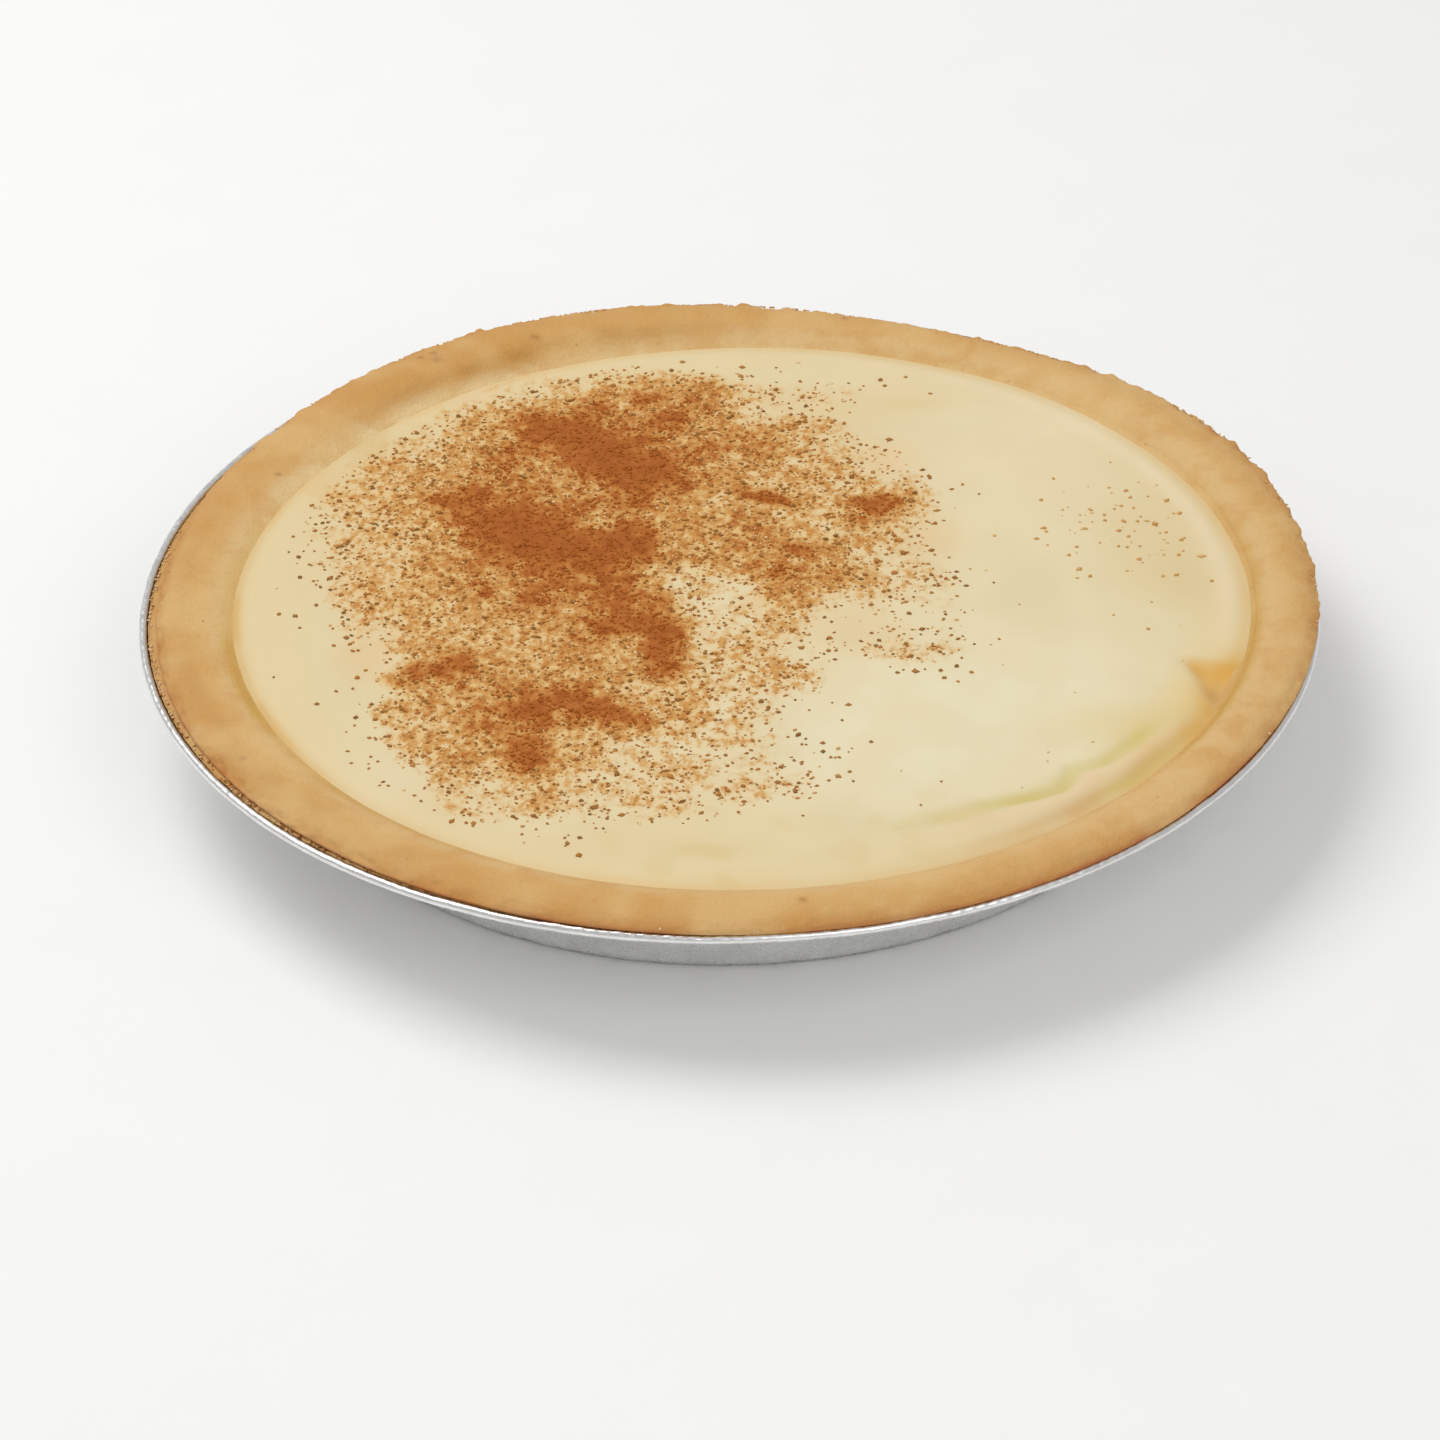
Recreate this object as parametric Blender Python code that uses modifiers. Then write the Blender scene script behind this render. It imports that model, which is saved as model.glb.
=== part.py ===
"""A round milk tart in the foil tin that it was baked in, with ground cinnamon shaken over its custard.

Metres, +Z up. The origin is the middle of the tin's base, on the surface that the tin stands on, and the
front of the tart, where the loose fold in the custard's skin starts, faces -Y.
"""

import math
import random

import bmesh
import bpy
from mathutils import Euler, Matrix, Vector, noise

SEGMENTS = 80  # steps round every turned body
GAP = 0.0003  # left between two pieces that touch
SHARP_ANGLE = math.radians(35)  # faces that meet at less look smooth

# Linear colour, roughness and metal share of each piece
FOIL_LOOK = ((0.80, 0.80, 0.79), 0.30, 1.0)
PASTRY_LOOK = ((0.64, 0.39, 0.14), 0.62, 0.0)
CUSTARD_LOOK = ((0.80, 0.66, 0.41), 0.45, 0.0)

# The tin: thin foil with pleated sides, a flat flange and a rolled rim
TIN_RADIUS = 0.1104
TIN_BASE_RADIUS = 0.0840
TIN_WALL_TOP_RADIUS = 0.0985
TIN_FLANGE_HEIGHT = 0.0230
FOIL = 0.0004
PANEL_RADIUS = 0.0580  # the middle of the base is pressed up inside this
PANEL_SLOPE = 0.0025
PANEL_RISE = 0.0008
BEAD_RADIUS = 0.0008
BEAD_RISE = 0.0006  # of the rolled rim's middle, over the flange
BEAD_STEPS = 7
BEAD_TURN = math.radians(300)  # how far round the rolled rim goes
PLEATS = SEGMENTS // 2
PLEAT_DEPTH = 0.00045  # each way from the wall's mean line
PLEAT_ENDS = (0.12, 0.88)  # shares of the wall's height between which it is pleated
PLEAT_CLEARANCE = 0.00045  # from the pleats' inner side to the crust
RIM_BENDS = ((66, 16, -0.0009),)  # like the crust's bulges below

# The crust: a shortcrust shell whose wide rim lies on the flange and a little off the tin's middle
CRUST_RADIUS = 0.1090
CRUST_CENTRE = Vector((0.0012, 0.0, 0.0))
CREST_RADIUS = 0.1033
CREST_HEIGHT = 0.0271
CRUST_EDGE_HEIGHT = 0.0247  # of the lower side of its edge, just clear of the rolled rim
CRUST_BASE = 0.0042
CRUST_HEEL = 0.0015  # how far inside the tin's wall the crust's base ends
CRUST_WAVE = 0.0003  # height of the slow waves along the crest
CRUST_WAVE_SIZE = 0.024
LIFT_RISE = 0.3  # share of the crest's height over which the waves and bulges come in
# Its inner slope: (metres out from the crease, metres over it, share that moves with the cavity)
INNER_SLOPE = (
    (0.0, 0.0, 1.0),
    (0.0020, 0.0007, 0.7),
    (0.0048, 0.0015, 0.3),
)
CREST_SHARE = -0.2
# Its rounded edge: (metres in from the edge, metres over its lower side, share that moves with the edge)
ROUNDED_EDGE = (
    (0.0024, 0.0019, -0.7),
    (0.0006, 0.0010, -1.0),
    (0.0, 0.0004, -1.0),
    (0.0002, 0.0, -1.0),
    (0.0020, -0.0001, -1.0),
)
FOOT_RADIUS = 0.1085  # the thin layer of dough below the edge, beside the rolled rim
FOOT_HEIGHT = 0.0239
FLANGE_SEAT = 0.0022  # from the rolled rim to where the crust lies on the flange

# The cavity that the custard fills, which isn't quite in the middle of the tin
CAVITY_CENTRE = Vector((0.0023, -0.0010, 0.0))
CREASE_RADIUS = 0.0948  # where custard and crust meet
CREASE_HEIGHT = 0.0251
LIP_DEPTH = 0.0042  # the cavity's side is almost upright this far down, and then slopes to its base
LIP_LEAN = 0.0004
CAVITY_BASE_RADIUS = 0.0770
CAVITY_CORNER = 0.0025

# The custard's top, as heights over the crease
SHOULDER = 0.0035  # how far in from the crease the custard turns level
SHOULDER_DROP = 0.0009
SHOULDER_RINGS = (1.0, 0.6, 0.3, 0.0)
DOME = 0.0008
RING_STEP = 0.0042
INNER_RING = 0.0080
SKIN_WAVE = 0.00025
SKIN_WAVE_SIZE = 0.030

# Where the crust departs from round and level: (degrees from +X, spread in degrees, metres out or up)
OUTLINE_BULGES = (
    (30, 16, 0.0015),
    (66, 15, -0.0015),
    (120, 24, 0.0012),
    (180, 22, -0.0009),
    (262, 38, 0.0008),
    (330, 18, -0.0006),
)
CREST_BULGES = (
    (70, 18, -0.0006),
    (115, 28, 0.0016),
)

# The loose fold in the skin: a ridge along an arc about the cavity's middle
FOLD_RADIUS = 0.0889
FOLD_WIDTH = 0.0022
FOLD_HEIGHT = 0.0007
FOLD_FROM, FOLD_TO = math.radians(-67), math.radians(-34)
FOLD_FADE = math.radians(9)
GROOVE_RADII = (0.0853, 0.0932)
GROOVE_WIDTH = 0.0017
GROOVE_DEPTH = 0.0007

# The three-cornered notch where the custard has come away from the crust, beyond the end of the fold
TEAR_CORNERS = (Vector((0.0828, -0.0215)), Vector((0.0935, -0.0230)), Vector((0.0905, -0.0390)))
TEAR_EDGE = 0.0016  # how far its side slopes, each way from the corners' lines
TEAR_DEPTH = 0.0016

# Heaps of cinnamon: (x, y, half length, half width, turn in degrees), in millimetres
CINNAMON_HEAPS = (
    (-35, 63, 10, 5, -20),
    (-21, 75, 9, 5, 0),
    (-13, 62, 12, 9, 0),
    (-23, 52, 7, 6, 0),
    (-16, 43, 10, 6, 0),
    (-50, 36, 7, 5, 0),
    (-42, 25, 12, 8, -25),
    (-34, 18, 11, 7, 0),
    (-21, 18, 9, 8, 0),
    (-23, 6, 8, 8, 0),
    (-15, -7, 6, 7, 0),
    (-13, -19, 4, 8, 0),
    (-32, -33, 10, 5, 0),
    (-25, -38, 10, 4, -25),
    (-37, -50, 6, 7, 0),
    (-53, -23, 8, 5, 15),
    (6, 35, 5, 2.5, -25),
    (29, 33, 6, 4, 0),
    (10, 14, 9, 3, 10),
)
MILLIMETRE = 0.001
HEAP_HEIGHT = 0.0005
HEAP_EDGE = 0.35  # share of a heap's reach over which it thins out
HEAP_GRAIN = 0.006  # size of the lumps in a heap
HEAP_SHARES = (0.75, 0.5)  # mean height and unevenness, as shares of the heap height

# Coarse crumbs of cinnamon on and round the heaps
CRUMB_COUNT = 56
CRUMB_RADII = (0.0006, 0.0011)
CRUMB_SCATTER = 1.5  # how far past a heap's edge they fall, in heap widths
CRUMB_SINK = 0.35  # share of its radius
CRUMB_FLATNESS = 0.75
CRUMB_WIDTHS = (0.7, 1.0)  # across the crumb, as shares of its length
CRUMB_TILT = 0.3  # at most this, in radians
CRUMB_REACH = 0.082  # none lies further out
CRUMB_SEED = 7


def blend(value, low, high):
    """0 at low, 1 at high and a smooth step between."""
    share = min(1.0, max(0.0, (value - low) / (high - low)))
    return share * share * (3 - 2 * share)


def between(start, end, share):
    return tuple(a + (b - a) * share for a, b in zip(start, end))


def waves(point, size):
    """Slow unevenness from -1 to 1, which changes over about this size."""
    return noise.noise(Vector(point) / size)


def bulge(bulges, angle):
    total = 0.0
    for degrees, spread, amount in bulges:
        away = (math.degrees(angle) - degrees + 180) % 360 - 180
        total += amount * math.exp(-((away / spread) ** 2))
    return total


def outwards(angle, distance):
    return Vector((math.cos(angle), math.sin(angle), 0)) * distance


def wall_line(share):
    """Radius and height on the middle line of the tin's wall, at a share of the way up."""
    return between((TIN_BASE_RADIUS, 0.0), (TIN_WALL_TOP_RADIUS, TIN_FLANGE_HEIGHT), share)


def heap_share(x, y):
    """How deep the cinnamon lies at a point of the custard, from 0 to 1."""
    bare = 1.0
    for heap_x, heap_y, length, width, turn in CINNAMON_HEAPS:
        away = Vector((x / MILLIMETRE - heap_x, y / MILLIMETRE - heap_y))
        away.rotate(Matrix.Rotation(-math.radians(turn), 2))
        reach = math.hypot(away.x / length, away.y / width)
        bare *= blend(reach, 1 - HEAP_EDGE, 1 + HEAP_EDGE)
    return 1 - bare


def fold_height(radius, angle):
    """The ridge and its two grooves, in polar coordinates about the cavity's middle."""
    along = blend(angle, FOLD_FROM - FOLD_FADE, FOLD_FROM + FOLD_FADE)
    along *= 1 - blend(angle, FOLD_TO - FOLD_FADE, FOLD_TO + FOLD_FADE)
    height = FOLD_HEIGHT * math.exp(-(((radius - FOLD_RADIUS) / FOLD_WIDTH) ** 2))
    for groove in GROOVE_RADII:
        height -= GROOVE_DEPTH * math.exp(-(((radius - groove) / GROOVE_WIDTH) ** 2))
    return height * along


def tear_share(point):
    """1 inside the notch, 0 outside it, and a smooth step between along its three sides."""
    inside = math.inf
    for start, end in zip(TEAR_CORNERS, TEAR_CORNERS[1:] + TEAR_CORNERS[:1]):
        along = (end - start).normalized()
        inside = min(inside, along.y * (point.x - start.x) - along.x * (point.y - start.y))
    return blend(inside, -TEAR_EDGE, TEAR_EDGE)


def custard_relief(x, y):
    """Height of the custard's skin over the crease, at a point in the row frame."""
    radius = math.hypot(x - CAVITY_CENTRE.x, y - CAVITY_CENTRE.y)
    angle = math.atan2(y - CAVITY_CENTRE.y, x - CAVITY_CENTRE.x)
    inside = CREASE_RADIUS - radius
    height = SHOULDER_DROP * (blend(inside, -SHOULDER / 2, SHOULDER) - 1)
    height += DOME * (1 - (radius / CREASE_RADIUS) ** 2)
    height += SKIN_WAVE * waves((x, y, 0), SKIN_WAVE_SIZE)
    height += fold_height(radius, angle)
    height -= TEAR_DEPTH * tear_share(Vector((x, y)))
    mean, uneven = HEAP_SHARES
    lumps = mean + uneven * waves((x, y, 1), HEAP_GRAIN)
    return height + HEAP_HEIGHT * heap_share(x, y) * lumps


def material(name, look):
    colour, roughness, metallic = look
    made = bpy.data.materials.new(name)
    made.use_nodes = True
    shader = made.node_tree.nodes["Principled BSDF"]
    shader.inputs["Base Color"].default_value = (*colour, 1.0)
    shader.inputs["Roughness"].default_value = roughness
    shader.inputs["Metallic"].default_value = metallic
    return made


def finished(obj, mesh, surface, collection):
    """Gives the object its final mesh, smooth shading and material, and puts it in the collection."""
    obj.modifiers.clear()
    obj.data = mesh
    mesh.name = obj.name
    mesh.materials.clear()
    mesh.materials.append(surface)
    mesh.shade_smooth()
    mesh.set_sharp_from_angle(angle=SHARP_ANGLE)
    if obj.name not in collection.objects:
        collection.objects.link(obj)
    return obj


def evaluated_mesh(obj):
    graph = bpy.context.evaluated_depsgraph_get()
    return bpy.data.meshes.new_from_object(obj.evaluated_get(graph))


def turned(name, profile, collection):
    """A body turned about Z. A profile row is (radius, height, share), and the share stays with its points.

    The profile starts on the axis at the top and ends on the axis at the bottom.
    """
    mesh = bpy.data.meshes.new(name + "_profile")
    points = [(radius, 0.0, height) for radius, height, _ in profile]
    mesh.from_pydata(points, [(i, i + 1) for i in range(len(points) - 1)], [])
    shares = mesh.attributes.new("share", "FLOAT", "POINT")
    shares.data.foreach_set("value", [share for _, _, share in profile])
    obj = bpy.data.objects.new(name, mesh)
    collection.objects.link(obj)
    turn = obj.modifiers.new("Turn", "SCREW")
    turn.angle = math.tau
    turn.steps = turn.render_steps = SEGMENTS
    turn.use_merge_vertices = True
    turn.merge_threshold = 0.00001
    bpy.context.view_layer.update()
    return obj, evaluated_mesh(obj)


def reshaped(mesh, rule):
    """Moves each point to where the rule puts it, from its place and its share."""
    shares = mesh.attributes["share"].data
    for vertex, share in zip(mesh.vertices, shares):
        vertex.co = rule(vertex.co.copy(), share.value)
    return mesh


def tin_profile():
    """The foil's two faces and its rolled rim. Share 1 marks what the pleats move, and -1 the rim."""
    def base_level(radius):
        return PANEL_RISE * (1 - blend(radius, PANEL_RADIUS - PANEL_SLOPE, PANEL_RADIUS))

    def wall(share, side):
        radius, height = wall_line(share)
        return radius + side * FOIL / 2, height + FOIL / 2

    bead_middle = (TIN_RADIUS - BEAD_RADIUS, TIN_FLANGE_HEIGHT + BEAD_RISE)
    flange_end = bead_middle[0] - BEAD_RADIUS
    rows = [(0.0, base_level(0) + FOIL, 0)]
    for radius in (PANEL_RADIUS - PANEL_SLOPE, PANEL_RADIUS, TIN_BASE_RADIUS - FOIL):
        rows.append((radius, base_level(radius) + FOIL, 0))
    rows += [(*wall(share, -1), 1) for share in PLEAT_ENDS]
    rows += [(TIN_WALL_TOP_RADIUS, TIN_FLANGE_HEIGHT + FOIL, 0), (flange_end, TIN_FLANGE_HEIGHT + FOIL, 0)]
    for step in range(BEAD_STEPS):
        turn = BEAD_TURN * (0.5 - step / (BEAD_STEPS - 1))
        radius = bead_middle[0] + BEAD_RADIUS * math.cos(turn)
        rows.append((radius, bead_middle[1] + BEAD_RADIUS * math.sin(turn), -1))
    rows += [(flange_end - FOIL, TIN_FLANGE_HEIGHT, 0), (TIN_WALL_TOP_RADIUS + FOIL, TIN_FLANGE_HEIGHT, 0)]
    rows += [(*wall(share, 1), 1) for share in reversed(PLEAT_ENDS)]
    for radius in (TIN_BASE_RADIUS, PANEL_RADIUS, PANEL_RADIUS - PANEL_SLOPE, 0.0):
        rows.append((radius, base_level(radius), 0))
    return rows


def press_foil(point, share):
    angle = math.atan2(point.y, point.x)
    if share > 0:
        return point + outwards(angle, PLEAT_DEPTH * math.cos(PLEATS * angle))
    return point + outwards(angle, bulge(RIM_BENDS, angle) * -share)


def make_tin(collection):
    obj, mesh = turned("foil_tin", tin_profile(), collection)
    return finished(obj, reshaped(mesh, press_foil), material("foil", FOIL_LOOK), collection)


def crust_profile():
    """Share 1 goes with the cavity, 0 with the tin, and -1 with the uneven outer edge."""
    clear = FOIL + GAP
    flange = TIN_FLANGE_HEIGHT + clear
    seat = TIN_RADIUS - 2 * BEAD_RADIUS - FLANGE_SEAT

    def beside_pleats(share):
        radius, height = wall_line(share)
        return radius - FOIL / 2 - PLEAT_DEPTH - PLEAT_CLEARANCE, height, 0

    cavity = [
        (0.0, CRUST_BASE, 1),
        (CAVITY_BASE_RADIUS - CAVITY_CORNER, CRUST_BASE, 1),
        (CAVITY_BASE_RADIUS, CRUST_BASE + CAVITY_CORNER, 1),
        (CREASE_RADIUS - LIP_LEAN, CREASE_HEIGHT - LIP_DEPTH, 1),
    ]
    rim = [(CREASE_RADIUS + out, CREASE_HEIGHT + up, share) for out, up, share in INNER_SLOPE]
    rim += [(CREST_RADIUS, CREST_HEIGHT, CREST_SHARE)]
    rim += [(CRUST_RADIUS - inset, CRUST_EDGE_HEIGHT + up, share) for inset, up, share in ROUNDED_EDGE]
    under = [
        (FOOT_RADIUS, FOOT_HEIGHT, 0),
        (seat, flange, 0),
        (TIN_WALL_TOP_RADIUS - GAP, flange, 0),
        *(beside_pleats(share) for share in reversed(PLEAT_ENDS)),
        (TIN_BASE_RADIUS - CRUST_HEEL, clear, 0),
        (PANEL_RADIUS + GAP, clear, 0),
        (PANEL_RADIUS - PANEL_SLOPE, clear + PANEL_RISE, 0),
        (0.0, clear + PANEL_RISE, 0),
    ]
    return cavity + rim + under


def press_crust(point, share):
    """Moves the cavity off the middle, and gives the rim the uneven outline and crest of pressed dough."""
    angle = math.atan2(point.y, point.x)
    outline = CRUST_CENTRE + outwards(angle, bulge(OUTLINE_BULGES, angle))
    moved = point + CAVITY_CENTRE * max(share, 0) + outline * max(-share, 0)
    if share == 0:
        on_flange = blend(math.hypot(point.x, point.y), TIN_WALL_TOP_RADIUS, FOOT_RADIUS)
        moved += outwards(angle, bulge(RIM_BENDS, angle) * on_flange)
    height = (point.z - CRUST_EDGE_HEIGHT) / (CREST_HEIGHT - CRUST_EDGE_HEIGHT)
    lift = bulge(CREST_BULGES, angle) + CRUST_WAVE * waves(point, CRUST_WAVE_SIZE)
    moved.z += lift * blend(height, 0, LIFT_RISE) * blend(share, 1, CREST_SHARE)
    return moved


def make_crust(collection):
    obj, mesh = turned("crust", crust_profile(), collection)
    return finished(obj, reshaped(mesh, press_crust), material("pastry", PASTRY_LOOK), collection)


def custard_profile():
    """Share 1 marks the skin, which takes the relief."""
    edge = CREASE_RADIUS - LIP_LEAN - GAP
    rings = [INNER_RING + RING_STEP * i for i in range(int((edge - SHOULDER - INNER_RING) / RING_STEP))]
    rings += [edge - SHOULDER * share for share in SHOULDER_RINGS]
    base = CRUST_BASE + GAP
    rows = [(0.0, CREASE_HEIGHT, 1)] + [(radius, CREASE_HEIGHT, 1) for radius in rings]
    rows += [
        (edge - GAP, CREASE_HEIGHT - LIP_DEPTH + GAP, 0),
        (CAVITY_BASE_RADIUS - 2 * GAP, base + CAVITY_CORNER, 0),
        (CAVITY_BASE_RADIUS - CAVITY_CORNER - GAP, base, 0),
        (0.0, base, 0),
    ]
    return rows


def settle_custard(point, share):
    moved = point + CAVITY_CENTRE
    moved.z += share * custard_relief(moved.x, moved.y)
    return moved


def crumb_places():
    """Where the coarse crumbs of cinnamon lie, thickest round the middle of each heap."""
    draw = random.Random(CRUMB_SEED)
    places = []
    while len(places) < CRUMB_COUNT:
        heap_x, heap_y, length, width, _ = draw.choice(CINNAMON_HEAPS)
        reach = CRUMB_SCATTER * (length + width) / 2
        x = draw.gauss(heap_x, reach) * MILLIMETRE
        y = draw.gauss(heap_y, reach) * MILLIMETRE
        radius = draw.uniform(*CRUMB_RADII)
        clear = all(math.hypot(x - px, y - py) > radius + pr + GAP for px, py, pr in places)
        if math.hypot(x, y) < CRUMB_REACH and clear:
            places.append((x, y, radius))
    return places


def make_crumbs(collection, skin):
    """Each crumb is a small flattened lump, turned its own way and sunk a little into the skin."""
    draw = random.Random(CRUMB_SEED + 1)
    for number, (x, y, radius) in enumerate(crumb_places()):
        lump = bmesh.new()
        bmesh.ops.create_icosphere(lump, subdivisions=1, radius=radius)
        bmesh.ops.scale(lump, vec=(1, draw.uniform(*CRUMB_WIDTHS), CRUMB_FLATNESS), verts=lump.verts)
        tilts = [draw.uniform(-CRUMB_TILT, CRUMB_TILT) for _ in range(2)]
        turn = Euler((*tilts, draw.uniform(0, math.tau)))
        bmesh.ops.rotate(lump, matrix=turn.to_matrix(), verts=lump.verts)
        mesh = bpy.data.meshes.new(f"crumb_{number:02d}")
        lump.to_mesh(mesh)
        lump.free()
        obj = bpy.data.objects.new(mesh.name, mesh)
        _, below, _, _ = skin.ray_cast(Vector((x, y, 1)), Vector((0, 0, -1)))
        obj.location = below + Vector((0, 0, radius * (CRUMB_FLATNESS - 2 * CRUMB_SINK)))
        collection.objects.link(obj)


def make_custard(collection):
    obj, mesh = turned("custard", custard_profile(), collection)
    obj.modifiers.clear()
    obj.data = reshaped(mesh, settle_custard)
    bpy.context.view_layer.update()
    crumbs = bpy.data.collections.new("crumbs")
    bpy.context.scene.collection.children.link(crumbs)
    make_crumbs(crumbs, obj)
    join = obj.modifiers.new("Crumbs", "BOOLEAN")
    join.operation = "UNION"
    join.operand_type = "COLLECTION"
    join.collection = crumbs
    bpy.context.view_layer.update()
    fused = evaluated_mesh(obj)
    for crumb in list(crumbs.objects):
        bpy.data.objects.remove(crumb)
    bpy.data.collections.remove(crumbs)
    return finished(obj, fused, material("custard", CUSTARD_LOOK), collection)


def main():
    for obj in list(bpy.data.objects):
        bpy.data.objects.remove(obj)
    tart = bpy.data.collections.new("milk_tart")
    bpy.context.scene.collection.children.link(tart)
    make_tin(tart)
    make_crust(tart)
    make_custard(tart)


main()
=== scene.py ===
"""The looks of the milk tart: fine custard, crust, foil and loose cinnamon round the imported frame.

Lengths are in metres in the row's frame, unless a comment says millimetres. Directions are turned
from +X about Z. The tart faces -Y, and the camera looks along +Y from above.
"""

import math
import random

import bpy
import numpy as np
from mathutils import Matrix, Vector, noise


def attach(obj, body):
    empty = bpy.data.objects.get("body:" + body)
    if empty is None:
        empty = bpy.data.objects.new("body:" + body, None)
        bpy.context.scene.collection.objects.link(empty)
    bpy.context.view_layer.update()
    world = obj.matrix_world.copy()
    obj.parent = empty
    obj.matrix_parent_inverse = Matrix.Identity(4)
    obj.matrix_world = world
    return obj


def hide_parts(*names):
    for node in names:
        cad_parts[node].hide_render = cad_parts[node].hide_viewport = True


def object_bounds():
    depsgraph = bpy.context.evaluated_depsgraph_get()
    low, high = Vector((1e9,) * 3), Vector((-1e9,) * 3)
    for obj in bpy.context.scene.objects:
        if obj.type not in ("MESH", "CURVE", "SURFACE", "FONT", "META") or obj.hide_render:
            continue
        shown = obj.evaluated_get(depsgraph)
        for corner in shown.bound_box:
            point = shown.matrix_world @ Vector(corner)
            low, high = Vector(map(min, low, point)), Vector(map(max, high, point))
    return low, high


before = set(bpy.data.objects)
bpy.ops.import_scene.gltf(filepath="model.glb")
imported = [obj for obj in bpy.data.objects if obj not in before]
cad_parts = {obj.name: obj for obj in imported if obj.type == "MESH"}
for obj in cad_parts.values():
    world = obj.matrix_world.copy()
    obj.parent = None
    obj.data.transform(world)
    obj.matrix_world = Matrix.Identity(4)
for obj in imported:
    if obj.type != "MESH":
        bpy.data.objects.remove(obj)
CAD_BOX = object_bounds()
MM = 0.001

# The forms that the solids have too. A soft bump round the tart, here and below, is
# (direction in degrees, spread in degrees, amount)
GAP = 0.0003
TIN_RADIUS = 0.1104
TIN_BASE_RADIUS = 0.0840
TIN_WALL_TOP_RADIUS = 0.0985
TIN_FLANGE_HEIGHT = 0.0230
FOIL = 0.0004
PANEL_RADIUS = 0.0580
PANEL_SLOPE = 0.0025
PANEL_RISE = 0.0008
BEAD_RADIUS = 0.0008
BEAD_RISE = 0.0006
PLEATS = 40
PLEAT_DEPTH = 0.00045
RIM_BENDS = ((66, 16, -0.0009),)

CRUST_RADIUS = 0.1090
CRUST_CENTRE = (0.0012, 0.0)
CREST_RADIUS = 0.1033
CREST_HEIGHT = 0.0271
CRUST_EDGE_HEIGHT = 0.0247
CRUST_BASE = 0.0042
FOOT_RADIUS = 0.1085
FOOT_HEIGHT = 0.0239
CRUST_WAVE = 0.0003
CRUST_WAVE_SIZE = 0.024
OUTLINE_BULGES = (
    (30, 16, 0.0015),
    (66, 15, -0.0015),
    (120, 24, 0.0012),
    (180, 22, -0.0009),
    (262, 38, 0.0008),
    (330, 18, -0.0006),
)
CREST_BULGES = (
    (70, 18, -0.0006),
    (115, 28, 0.0016),
)

CAVITY_CENTRE = (0.0023, -0.0010)
CREASE_RADIUS = 0.0948
CREASE_HEIGHT = 0.0251
LIP_DEPTH = 0.0042
LIP_LEAN = 0.0004
CAVITY_BASE_RADIUS = 0.0770
CAVITY_CORNER = 0.0025
SHOULDER = 0.0035
SHOULDER_DROP = 0.0006
DOME = 0.0008
SKIN_WAVE = 0.00025
SKIN_WAVE_SIZE = 0.030
FOLD_RADIUS = 0.0889
FOLD_WIDTH = 0.0020
FOLD_HEIGHT = 0.0007
FOLD_FROM, FOLD_TO = math.radians(-67), math.radians(-34)
FOLD_FADE = math.radians(9)
FOLD_FOLLOWS = 0.6
# How far the fold strays outwards along its way: (degrees, metres)
FOLD_WANDER = (
    (-68, -0.0036),
    (-60, -0.0030),
    (-52, 0.0),
    (-49.5, 0.0014),
    (-45, -0.0019),
    (-41.5, 0.0011),
    (-34.5, 0.0013),
    (-29.5, 0.0028),
)
# The inner and the outer groove beside the fold: (radius, share of the straying that it follows)
GROOVES = ((0.0853, 1.0), (0.0932, 0.25))
GROOVE_WIDTH = 0.0015
GROOVE_DEPTH = 0.0007
NOTCH_CORNERS = ((0.0836, -0.0240), (0.0943, -0.0258), (0.0888, -0.0394))
NOTCH_SOFTNESS = 0.0020
NOTCH_DEPTH = 0.0012

# How finely the bodies are made
CUSTARD_SEGMENTS, CUSTARD_RINGS = 640, 122
CRUST_SEGMENTS = 1000
FOIL_SEGMENTS = 1200
SKIN_OVERLAP = 0.0004
SKIN_LAST_STEP = 0.0001

# Unevenness of each surface, as layers of waves: (amount, size, layer)
FOLD_RIPPLES = ((0.0007, 0.006, 5.0),)
DUST_CLUMPS = ((0.4, 0.008, 2.0), (0.5, 0.0037, 3.0))
HEAP_LUMPS = ((0.5, 0.006, 0.0), (0.75, 0.0021, 4.0))
SKIN_GRAIN = ((0.00004, 0.005, 6.0),)
NOTCH_FRAYS = ((0.0009, 0.004, 4.0),)
SKIN_CLOUDS = ((1.0, 0.022, 7.0),)
GROOVE_PATCHES = ((0.5, 0.007, 8.0),)
STAIN_PATCHES = ((1.0, 0.009, 9.0),)
CRUST_GRAIN = ((0.00013, 0.0055, 1.0), (0.00007, 0.0019, 2.0))
CRUST_RAGS = ((0.0007, 0.0034, 3.0), (0.0006, 0.0016, 4.0))
FOOT_CRUMBLE = ((0.00016, 0.0022, 5.0), (0.00012, 0.0011, 6.0))
WALL_WRINKLES = ((1.0, 0.03, 5.0), (0.5, 0.014, 6.0))
RIM_DENTS = ((0.00018, 0.010, 1.0), (0.00010, 0.0030, 2.0))

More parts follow.
